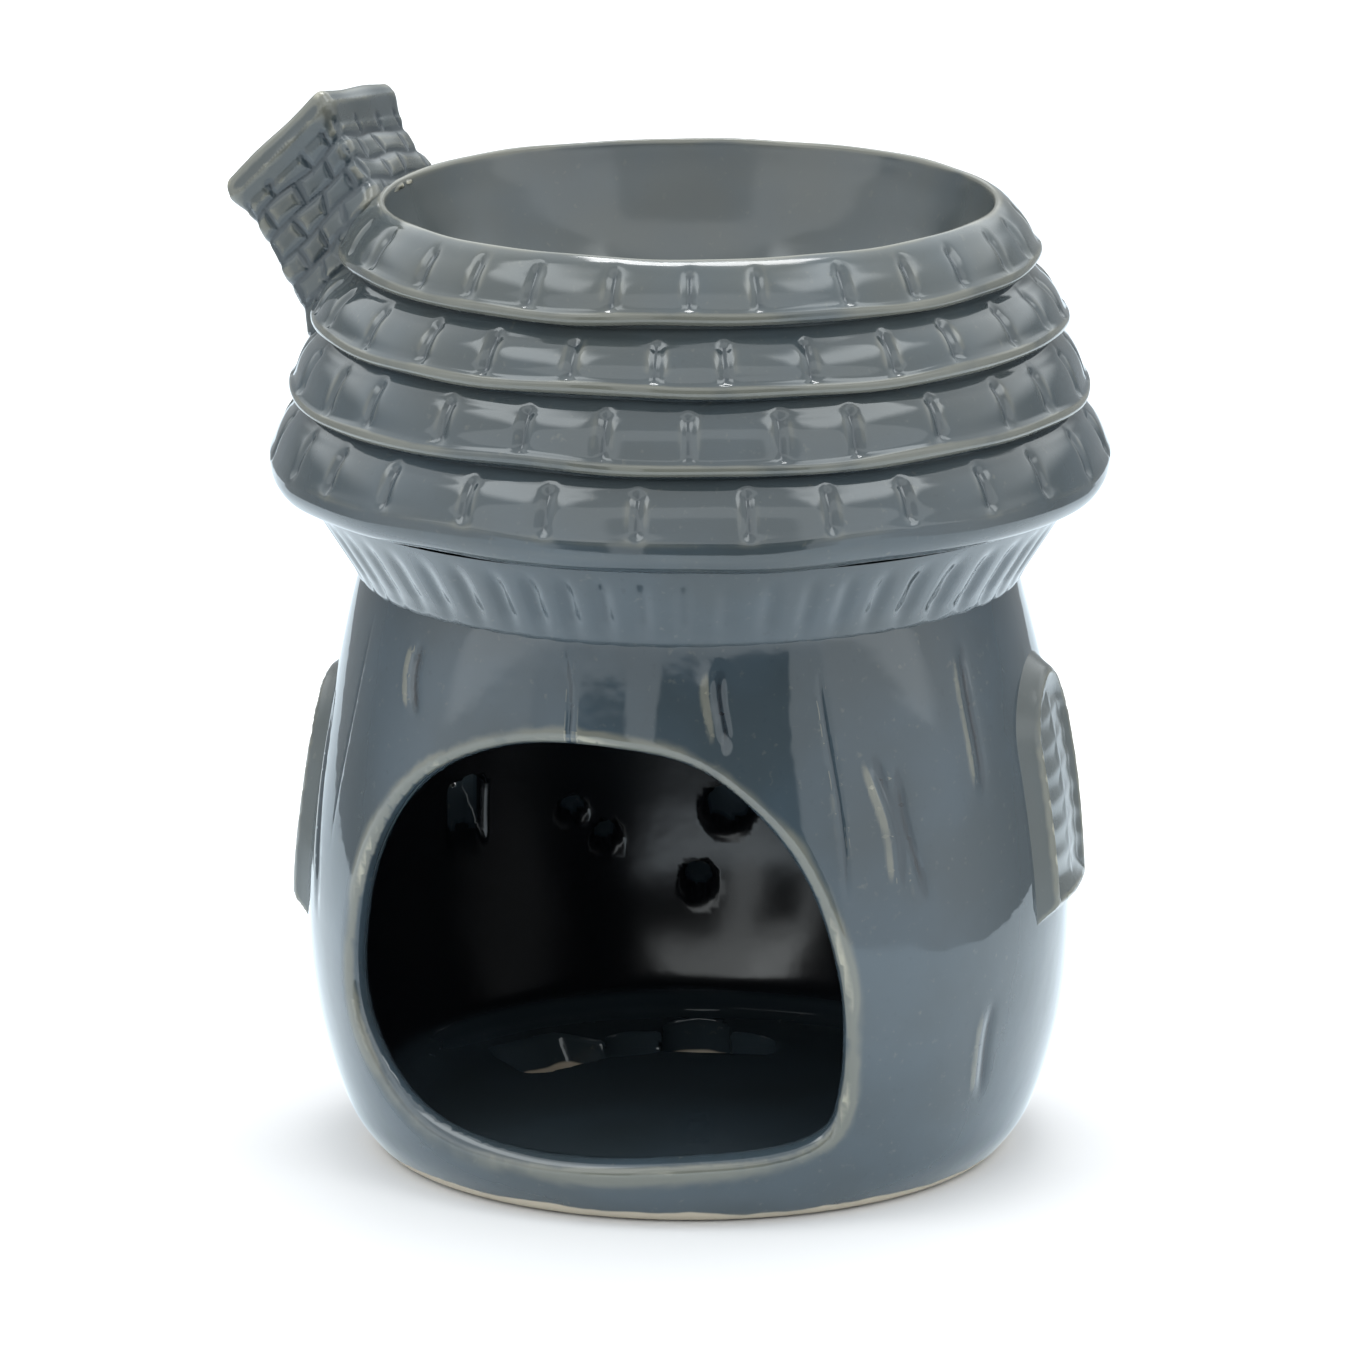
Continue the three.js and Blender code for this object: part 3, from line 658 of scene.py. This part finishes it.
def build_course(course, before=None, after=None):
    """A course of shingles as one grid. before and after are plain profile points at its ends. Its lip sways
    up and down a little."""
    azimuths, away, share = course_columns(course)
    points, depth = course_profile(course)
    start = groove_floor(course) if before is None else before
    end = lip_curl(course) if after is None else after
    profile = np.vstack((start, points, end))
    depth = np.concatenate((np.linspace(0, depth[0], len(start)), depth, np.zeros(len(end))))
    offsets = shingle_offsets(course, depth, away, share)
    offsets = offsets + ripple(azimuths, course)[None, :] * smooth_step(*RIPPLE_SPAN, profile[:, :1])
    to_lip, past_lip = np.linspace(0, 1, len(points)), np.linspace(1, 0.3, len(end))
    swayed = np.concatenate((np.zeros(len(start)), to_lip, past_lip))
    sway = 0.25 * np.sin(5 * azimuths + 1.3 * course) + 0.14 * np.sin(12 * azimuths + 2 * course)
    return revolve(profile[::-1], azimuths, offsets[::-1], (swayed[:, None] * sway[None, :])[::-1])


def build_dish():
    """The bowl, the rim and the first course in one grid, and the dish's underside."""
    bowl = spline(DISH_OUTLINE, 7)
    bowl[0] = (AXIS_GAP, DISH_OUTLINE[0][1])
    rim = np.array([(37.68, 120.7), (37.9, 120.93)])
    outside = build_course(0, before=np.vstack((bowl, rim)))
    rise = (RIM_TOP - bowl[:, 1]) / (RIM_TOP - bowl[0, 1])
    under = bowl + np.stack((np.where(bowl[:, 0] > 1, DISH_WALL, 0), -DISH_FLOOR * rise), axis=-1)
    under = under[under[:, 1] < LIP_HEIGHTS[0] - 3]
    underside = revolve(under, PLAIN_AZIMUTHS)
    return make_piece("oil_dish_glazed", [outside, underside], "slate_glaze", ["oil_dish"], **CAP_WEAR_AND_SHADE)


def gill_grid():
    """The underside from the crease in to the neck, with a groove between each two gills."""
    steps = np.linspace(0, 1, 22)
    crease, end = np.array(CREASE), np.array(GILL_END)
    slope = crease + (end - crease) * steps[:, None]
    inner = np.array([(42.0, 74.6), (41.7, 74.0), (41.2, 73.4), (40.4, 72.8), (39.6, 72.6)])
    profile = np.vstack((slope, inner))
    depth = smooth_step(0.05, 0.5, steps) * (1 - 0.5 * smooth_step(0.85, 1, steps))
    depth = np.concatenate((depth, np.linspace(0.4, 0, len(inner))))
    columns = GILLS * GILL_COLUMNS
    azimuths = np.arange(columns) * 2 * math.pi / columns
    uneven = 0.14 * np.sin(3 * azimuths) + 0.1 * np.sin(8 * azimuths + 1)
    place = (np.arange(columns) / GILL_COLUMNS + uneven) % 1
    groove = (0.5 + 0.5 * np.cos(2 * math.pi * place)) ** 2 * (1 + 0.25 * np.sin(5 * azimuths + 2))
    offsets = -GILL_DEPTH * depth[:, None] * groove[None, :] / 1.25
    return revolve(profile[::-1], azimuths, offsets[::-1])


def roof_inside():
    eave = [(36.9, 73), (37.9, 76.2), (43.5, 86.2), (46.7, 90.8)]
    crown = [(45, 97.2), (42.3, 105.5), (39.9, 111.2), (39.5, 117)]
    return revolve(spline(eave + crown, 3), PLAIN_AZIMUTHS[::-1])


def build_roof():
    eave = [(52.6, LIP_HEIGHTS[3]), (52.35, 86.9), (51.3, 85.3), (49.6, 84.5), (48.5, 84.5), CREASE]
    courses = [build_course(1), build_course(2), build_course(EAVE_COURSE, after=spline(eave, 5)[1:])]
    parts = [*courses, gill_grid(), roof_inside()]
    return make_piece("roof_shell_glazed", parts, "slate_glaze", ["roof_shell"], **CAP_WEAR_AND_SHADE)


# The chimney

cap_outline = np.vstack(
    [[(0.0, RIM_TOP)]] + [course_profile(course, 8)[0] for course in range(4)] + [[(0.0, LIP_HEIGHTS[3])]]
)
cap_distance = OutlineDistance(cap_outline)


def brick_joints(u, v, w):
    """How near a point is to a joint between bricks, up to 1. The joints are uneven and end below the cap."""
    wobble = BRICK_WOBBLE * np.sin(u / 2.3 - v / 3.1) * np.sin(w / 2.9 + v / 4.3)
    down = wobble - w - CAP_THICKNESS
    course = np.floor(down / BRICK_COURSE)
    bed = np.abs((down / BRICK_COURSE + 0.5) % 1 - 0.5) * BRICK_COURSE
    on_front = np.abs(v) - STACK_BACK / 2 > np.abs(u) - STACK_IN / 2
    along = np.where(on_front, u / STACK_IN * BRICKS_IN, v / STACK_BACK * BRICKS_BACK)
    brick = np.where(on_front, STACK_IN / BRICKS_IN, STACK_BACK / BRICKS_BACK)
    upright = np.abs((along + wobble / 2 + course / 2 + 0.1) % 1 - 0.5) * brick
    return np.exp(-((np.minimum(bed, upright) / BRICK_JOINT) ** 2)) * smooth_step(0.2, 1.6, down)


def chimney_axes(p):
    """A point's place along the chimney's own edges, from the centre of its top."""
    local = (p - CHIMNEY_TOP) @ np.linalg.inv(CHIMNEY_AXES).T
    return local[..., 0], local[..., 1], local[..., 2]


def chimney_field(p):
    u, v, w = chimney_axes(p)
    half_in, half_back = STACK_IN / 2, STACK_BACK / 2
    uneven = 0.18 * np.sin(u / 1.9 + w / 3.1) * np.sin(v / 2.3 - w / 2.7)
    below = w + CAP_THICKNESS
    radius = np.hypot(p[..., 0], p[..., 1])
    roof = cap_distance(radius, p[..., 2])
    skirt = SKIRT * np.exp(-np.maximum(roof, 0) / SKIRT) * smooth_step(*SKIRT_RADII, radius)
    stack = box_distance((u, v), (half_in + BRICK_DEPTH, half_back + BRICK_DEPTH), STACK_ROUND) - skirt
    stack = stack + BRICK_DEPTH * brick_joints(u, v, w) + uneven
    flare = 1 + CAP_FLARE * np.clip(w / CAP_THICKNESS + 1, 0, 1)
    slab_half = (half_in + CAP_OVERHANG, half_back + CAP_OVERHANG / 2, CAP_THICKNESS / 2)
    slab = box_distance((u / flare, v / flare, w + CAP_THICKNESS / 2), slab_half, CAP_ROUND) + uneven / 2
    slab = blend_max(slab, -box_distance((u, v), (FLUE_IN / 2, FLUE_BACK / 2), CAP_ROUND), FLUE_LIP)
    flue_floor = np.maximum(box_distance((u, v), (half_in - 1, half_back - 1), 1), np.abs(below) - 0.4)
    whole = blend_min(np.minimum(slab, flue_floor), np.maximum(stack, below), CAP_BLEND)
    return blend_max(whole, -(roof + ROOTED), 0.2)


def build_chimney():
    (low_stack, high_stack), (low_cap, high_cap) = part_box("chimney_stack"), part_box("chimney_cap")
    low = np.minimum(low_stack, low_cap) * 1000 - CHIMNEY_MARGIN[0]
    high = np.maximum(high_stack, high_cap) * 1000 + CHIMNEY_MARGIN[1]
    part = field_mesh(chimney_field, low, high, CHIMNEY_CELL)
    nodes = ["chimney_stack", "chimney_cap"]
    stain_and_shade = MORTAR_STAIN * brick_joints(*chimney_axes(part[0]))
    return make_piece("chimney_glazed", [part], "slate_glaze", nodes, bend=1.1, passes=3, stain_and_shade=stain_and_shade)


# The windows


def arch_distance(across, up):
    """Distance to the window's arched outline, in its own plane."""
    spring = WINDOW_RISE - WINDOW_HALF_WIDTH
    straight = np.maximum(np.abs(across) - WINDOW_HALF_WIDTH, -up)
    arch = np.hypot(across, np.maximum(up - spring, 0)) - WINDOW_HALF_WIDTH
    return np.maximum(straight, arch)


def window_field(side):
    sill = SILLS[side]
    pitch = (WINDOW_RISE - 2 * WINDOW_BAND) / PANE_ROWS

    def field(p):
        wall = stalk_outside(p)
        across, up = p[..., 1], p[..., 2] - sill
        outline = arch_distance(across, up)
        band = np.abs(outline + WINDOW_BAND / 2) - WINDOW_BAND / 2
        frame_ring = blend_max(band, wall - WINDOW_PROUD, FRAME_ROUND)
        from_rung = np.abs((up - WINDOW_BAND + pitch / 2) % pitch - pitch / 2)
        bar = np.exp(-((np.minimum(from_rung, np.abs(across)) / BAR_HALF_WIDTH) ** 2))
        pane = np.maximum(outline + WINDOW_BAND / 2, wall - PANE_PROUD - (BARS_PROUD - PANE_PROUD) * bar)
        sunk = wall + 0.3 * smooth_step(0.3, 1.6, outline)
        return blend_min(blend_min(pane, frame_ring, 1.2), sunk, 2.0)

    return field


def build_window(side, name):
    low_frame, high_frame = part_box(f"{name}_window_frame")
    low, high = np.array(low_frame) * 1000 - WINDOW_MARGIN, np.array(high_frame) * 1000 + WINDOW_MARGIN
    vertices, quads, normals = field_mesh(window_field(side), low, high, WINDOW_CELL)
    centres = vertices[quads].mean(1)
    keep = arch_distance(centres[:, 1], centres[:, 2] - SILLS[side]) < WINDOW_SKIRT
    parts = [(vertices, quads[keep], normals)]
    nodes = [f"{name}_window_frame", f"{name}_window_panes"]
    return make_piece(f"{name}_window_glazed", parts, "slate_glaze", nodes, bend=1.0)


# Materials


class Nodes:
    """Adds nodes to a tree and links them by name."""

    def __init__(self, tree):
        self.tree = tree
        tree.nodes.clear()

    def add(self, kind, inputs=None, **settings):
        node = self.tree.nodes.new(kind)
        for key, value in settings.items():
            setattr(node, key, value)
        for key, value in (inputs or {}).items():
            if isinstance(value, bpy.types.NodeSocket):
                self.tree.links.new(value, node.inputs[key])
            else:
                node.inputs[key].default_value = value
        return node

    def noise(self, coordinates, scale, detail=2.0):
        made = self.add("ShaderNodeTexNoise", {"Vector": coordinates, "Scale": scale, "Detail": detail})
        return made.outputs["Fac"]

    def math(self, operation, a, b=0.0, c=0.0):
        return self.add("ShaderNodeMath", {0: a, 1: b, 2: c}, operation=operation).outputs[0]

    def span(self, value, low, high, to_low=0.0, to_high=1.0):
        inputs = {"Value": value, "From Min": low, "From Max": high, "To Min": to_low, "To Max": to_high}
        return self.add("ShaderNodeMapRange", inputs, interpolation_type="SMOOTHSTEP").outputs["Result"]

    def window(self, value, low, high, soft):
        """1 between low and high and 0 outside them, with soft edges."""
        rise = self.span(value, low - soft, low + soft)
        fall = self.span(value, high + soft, high - soft)
        return self.math("MULTIPLY", rise, fall)

    def mix(self, share, a, b):
        made = self.add("ShaderNodeMix", {"Factor": share}, data_type="RGBA")
        for socket, value in (("A", a), ("B", b)):
            target = next(i for i in made.inputs if i.name == socket and i.type == "RGBA")
            if isinstance(value, bpy.types.NodeSocket):
                self.tree.links.new(value, target)
            else:
                target.default_value = (*value, 1)
        return next(o for o in made.outputs if o.type == "RGBA")


SLATE = (0.027, 0.036, 0.042)
SLATE_BLUE = (0.032, 0.045, 0.056)
SLATE_DEEP = (0.02, 0.028, 0.035)
# Painted shade: the near black of the chamber's inner wall.
CHAMBER_SHADE = (0.006, 0.007, 0.009)
OLIVE = (0.044, 0.047, 0.042)
TAN = (0.105, 0.104, 0.088)
CREAM = (0.24, 0.225, 0.175)
CLAY = (0.4, 0.33, 0.25)
BARE_FOOT = 0.0015  # height of the unglazed foot, in metres


def glaze_material(name, dull):
    """Slate glaze: deeper where it pools in hollows, a darkening that is also painted shade there and in
    scratches, near black as painted shade in the chamber, breaking to tan and cream on edges, bare at the
    foot.
    dull is how thin and matt it is all over, up to 1."""
    material = bpy.data.materials.new(name)
    material.use_nodes = True
    n = Nodes(material.node_tree)
    place = n.add("ShaderNodeTexCoord").outputs["Object"]
    wear_and_shade = n.add("ShaderNodeAttribute", attribute_name="wear_and_shade").outputs["Fac"]
    cloud = n.noise(place, 55.0, 4.0)
    speck = n.noise(place, 900.0, 3.0)
    patchy = n.noise(place, 75.0, 3.0)
    colour = n.mix(n.span(cloud, 0.35, 0.68), SLATE, SLATE_BLUE)
    colour = n.mix(n.span(speck, 0.62, 0.8, 0.0, 0.3), colour, TAN)
    colour = n.mix(n.span(speck, 0.38, 0.2, 0.0, 0.4), colour, SLATE_DEEP)
    height = n.add("ShaderNodeSeparateXYZ", {"Vector": place}).outputs["Z"]
    thin = n.math("MULTIPLY", n.span(height, 0.085, 0.125), n.span(patchy, 0.3, 0.7, 0.0, 0.5))
    colour = n.mix(thin, colour, OLIVE)
    colour = n.mix(0.6 * dull, colour, TAN)
    worn = n.math("MULTIPLY", wear_and_shade, n.span(patchy, 0.32, 0.66, 0.5, 1.2))
    # Darker in hollows: glaze pooled there, and painted shade in hollows and scratches.
    colour = n.mix(n.span(wear_and_shade, -0.08, -0.6, 0.0, 0.8), colour, SLATE_DEEP)
    colour = n.mix(n.span(worn, 0.1, 0.45, 0.0, 0.9), colour, TAN)
    colour = n.mix(n.span(worn, 0.6, 1.0, 0.0, 0.85), colour, CREAM)
    # Painted shade: near black on the chamber's inner wall.
    colour = n.mix(n.span(wear_and_shade, -1.0, -2.0), colour, CHAMBER_SHADE)
    foot = n.math("MULTIPLY_ADD", n.math("SUBTRACT", patchy, 0.5), 0.0024)
    bare = n.span(n.math("ADD", height, foot), BARE_FOOT + 0.0002, BARE_FOOT - 0.0002)
    colour = n.mix(bare, colour, CLAY)
    roughness = n.span(cloud, 0.3, 0.7, 0.03, 0.07)
    roughness = n.math("ADD", roughness, n.span(worn, 0.5, 1.0, 0.0, 0.12))
    roughness = n.math("ADD", roughness, n.math("MULTIPLY", bare, 0.6))
    roughness = n.math("ADD", roughness, n.span(wear_and_shade, -1.0, -2.0, 0.0, 0.13))
    roughness = n.math("ADD", roughness, 0.3 * dull)
    soft = n.noise(place, 170.0, 2.0)
    relief = n.math("ADD", soft, n.math("MULTIPLY", speck, 0.05))
    bump = n.add("ShaderNodeBump", {"Height": relief, "Strength": 0.06, "Distance": 0.0008})
    inputs = {
        "Base Color": colour,
        "Roughness": roughness,
        "IOR": 1.53,
        "Specular IOR Level": 0.5 - 0.2 * dull,
        "Normal": bump.outputs["Normal"],
    }
    shader = n.add("ShaderNodeBsdfPrincipled", inputs)
    n.add("ShaderNodeOutputMaterial", {"Surface": shader.outputs["BSDF"]})
    return material


# Floor, light and camera, in metres

PHOTO_SIZE = 1347  # pixels each way
FOCAL_LENGTH = 10270  # in pixels of the photo
PHOTO_SHIFT = -16.5  # in pixels, to the side
CAMERA_AZIMUTH = math.radians(13)
CAMERA_DISTANCE = 1.25  # from the stalk's axis, on the level
CAMERA_HEIGHT = 0.37
CAMERA_DOWN = 13.93  # degrees
WALL_LEVEL = 1.75
BACK_LEVELS = (0.5, 2.2)  # the back wall's, at the floor and high up
OPENING_SHARE = 0.8
SCREEN_GAIN = 0.9  # how much brighter the screen over the opening is
BOX_GAIN = 3.8  # how much brighter the soft boxes at the sides are
HOOD_SHARE = 0.68
STAND_SHARE = 0.04

# Patches of the open front. Each says how far it reaches across and upwards, as tangents seen from the
# burner, and how soft its edges are
OPENING = ((-1.3, 1.05, 0.1), (-0.5, 0.3, 0.04))
HOOD = ((-0.44, 0.56, 0.09), (0.36, 0.75, 0.08))
STAND = ((-0.21, 0.67, 0.02), (-0.5, 0.27, 0.02))
POST = ((-0.75, -0.42, 0.02), (-0.5, 0.265, 0.02))
SCREEN_UP = (0.36, 1.3, 0.06)
BOX_SIDEWAYS = (-0.72, 0.1, 0.06)  # in the level part of a direction
BOX_UP = (0.7, 0.9, 0.06)

FLOOR_SEEN = (0.6, 0.59, 0.597)
PAPER_NEAR = (0.85, 0.92, 0.98)  # as the glaze reflects it, in front of the burner and behind it, where it is painted darker as painted shade
PAPER_FAR = (0.5, 0.545, 0.585)
PAPER_HALF_WIDTH = 0.22
PAPER_FRONT = 0.22  # how far the paper reaches towards the camera, which stands beyond its edge
PAPER_BACK = 6.0


def lights():
    """A panel in the tent's ceiling, with a strip of lamps along each edge. Places and sizes are in
    millimetres."""
    lamps = [
        ("top_panel", (-14, 200, 760), (365, 160), 12.0),
        ("near_strip", (6, 114, 758), (400, 14), 24.0),
        ("far_strip", (-34, 290, 758), (400, 14), 24.0),
    ]
    for name, place, size, radiance in lamps:
        lamp = bpy.data.lights.new(name, "AREA")
        lamp.shape = "RECTANGLE"
        lamp.size, lamp.size_y = size[0] / 1000, size[1] / 1000
        lamp.energy = radiance * lamp.size * lamp.size_y * math.pi
        lamp_object = bpy.data.objects.new(name, lamp)
        bpy.context.scene.collection.objects.link(lamp_object)
        lamp_object.location = [value / 1000 for value in place]
        aim = Vector((0, 0, 0.07)) - lamp_object.location
        lamp_object.rotation_euler = aim.to_track_quat("-Z", "Y").to_euler()


def surround():
    """A light tent: pale walls and ceiling, a soft box at each side, and an open front with a hood, in which
    the camera's stand and post are dark."""
    world = bpy.data.worlds.new("light_tent")
    bpy.context.scene.world = world
    world.use_nodes = True
    n = Nodes(world.node_tree)
    direction = n.add("ShaderNodeTexCoord").outputs["Generated"]
    turned = n.add("ShaderNodeMapping", {"Vector": direction, "Rotation": (0, 0, -CAMERA_AZIMUTH)})
    axes = n.add("ShaderNodeSeparateXYZ", {"Vector": turned.outputs["Vector"]}).outputs
    ahead = n.math("MAXIMUM", n.math("MULTIPLY", axes["Y"], -1.0), 0.05)
    across, up = n.math("DIVIDE", axes["X"], ahead), n.math("DIVIDE", axes["Z"], ahead)

    def patch(reach_across, reach_up):
        return n.math("MULTIPLY", n.window(across, *reach_across), n.window(up, *reach_up))

    back = n.span(axes["Z"], 0.16, 0.4, *BACK_LEVELS)
    behind = n.span(axes["Y"], -0.2, 0.6)
    level = n.math("MULTIPLY_ADD", behind, n.math("SUBTRACT", back, WALL_LEVEL), WALL_LEVEL)
    level_part = n.math("SQRT", n.math("SUBTRACT", 1.001, n.math("MULTIPLY", axes["Z"], axes["Z"])))
    sideways = n.window(n.math("DIVIDE", axes["Y"], level_part), *BOX_SIDEWAYS)
    box = n.math("MULTIPLY", sideways, n.window(axes["Z"], *BOX_UP))
    level = n.math("ADD", level, n.math("MULTIPLY", box, BOX_GAIN))
    facing = n.span(axes["Y"], -0.05, -0.2)
    screen = n.math("MULTIPLY", n.window(up, *SCREEN_UP), facing)
    level = n.math("ADD", level, n.math("MULTIPLY", screen, SCREEN_GAIN))
    dark = n.math("MAXIMUM", patch(*STAND), patch(*POST))
    covers = [(patch(*OPENING), OPENING_SHARE), (patch(*HOOD), HOOD_SHARE), (dark, STAND_SHARE)]
    for cover, share in covers:
        level = n.math("MULTIPLY", level, n.span(cover, 0.0, 1.0, 1.0, share))
    tint = n.mix(n.span(axes["Z"], -0.1, 0.5), (0.91, 0.97, 1.0), (0.93, 0.98, 0.99))
    tent = n.add("ShaderNodeBackground", {"Color": tint, "Strength": level})
    white = n.add("ShaderNodeBackground", {"Color": (1, 1, 1, 1), "Strength": 1.0})
    seen = n.add("ShaderNodeLightPath").outputs["Is Camera Ray"]
    both = n.add("ShaderNodeMixShader", {0: seen, 1: tent.outputs[0], 2: white.outputs[0]})
    n.add("ShaderNodeOutputWorld", {"Surface": both.outputs[0]})


def studio_floor():
    """White paper. The camera sees it as bright as the background, with the burner's soft shadow on it."""
    mesh = bpy.data.meshes.new("studio_floor")
    half = PAPER_HALF_WIDTH
    corners = [(-half, -PAPER_FRONT), (half, -PAPER_FRONT), (half, PAPER_BACK), (-half, PAPER_BACK)]
    mesh.from_pydata([(x, y, 0) for x, y in corners], [], [(0, 1, 2, 3)])
    floor = bpy.data.objects.new("studio_floor", mesh)
    floor.rotation_euler = (0, 0, CAMERA_AZIMUTH)
    bpy.context.scene.collection.objects.link(floor)
    material = bpy.data.materials.new("studio_white")
    material.use_nodes = True
    n = Nodes(material.node_tree)
    seen = n.add("ShaderNodeLightPath").outputs["Is Camera Ray"]
    place = n.add("ShaderNodeTexCoord").outputs["Object"]
    away = n.add("ShaderNodeSeparateXYZ", {"Vector": place}).outputs["Y"]
    # Painted shade: in reflections the paper is darker behind the burner.
    reflected = n.mix(n.span(away, 0.0, 0.2), PAPER_NEAR, PAPER_FAR)
    colour = n.mix(seen, reflected, FLOOR_SEEN)
    paper = n.add("ShaderNodeBsdfDiffuse", {"Color": colour})
    n.add("ShaderNodeOutputMaterial", {"Surface": paper.outputs[0]})
    mesh.materials.append(material)


def camera():
    """The photo's viewing angle: 13 degrees to the door's right and 13.9 degrees down."""
    data = bpy.data.cameras.new("photo_view")
    data.sensor_width = 36
    data.lens = FOCAL_LENGTH / PHOTO_SIZE * data.sensor_width
    data.shift_x = PHOTO_SHIFT / PHOTO_SIZE
    data.clip_start, data.clip_end = 0.1, 20
    view = bpy.data.objects.new("photo_view", data)
    bpy.context.scene.collection.objects.link(view)
    level = (CAMERA_DISTANCE * math.sin(CAMERA_AZIMUTH), -CAMERA_DISTANCE * math.cos(CAMERA_AZIMUTH))
    view.location = (*level, CAMERA_HEIGHT)
    view.rotation_euler = (math.radians(90 - CAMERA_DOWN), 0, CAMERA_AZIMUTH)
    bpy.context.scene.camera = view


camera()
surround()
lights()
studio_floor()
glazes = {
    "stalk_glaze": (0.0, build_stalk()),
    "roof_glaze": (0.1, [build_roof()]),
    "dish_glaze": (0.25, [build_dish()]),
    "chimney_glaze": (0.3, [build_chimney()]),
    "window_glaze": (0.55, [build_window(1, "right"), build_window(-1, "left")]),
}
for name, (dull, pieces) in glazes.items():
    material = glaze_material(name, dull)
    for piece in pieces:
        piece.data.materials.append(material)

scene = bpy.context.scene
scene.view_settings.view_transform = "Standard"
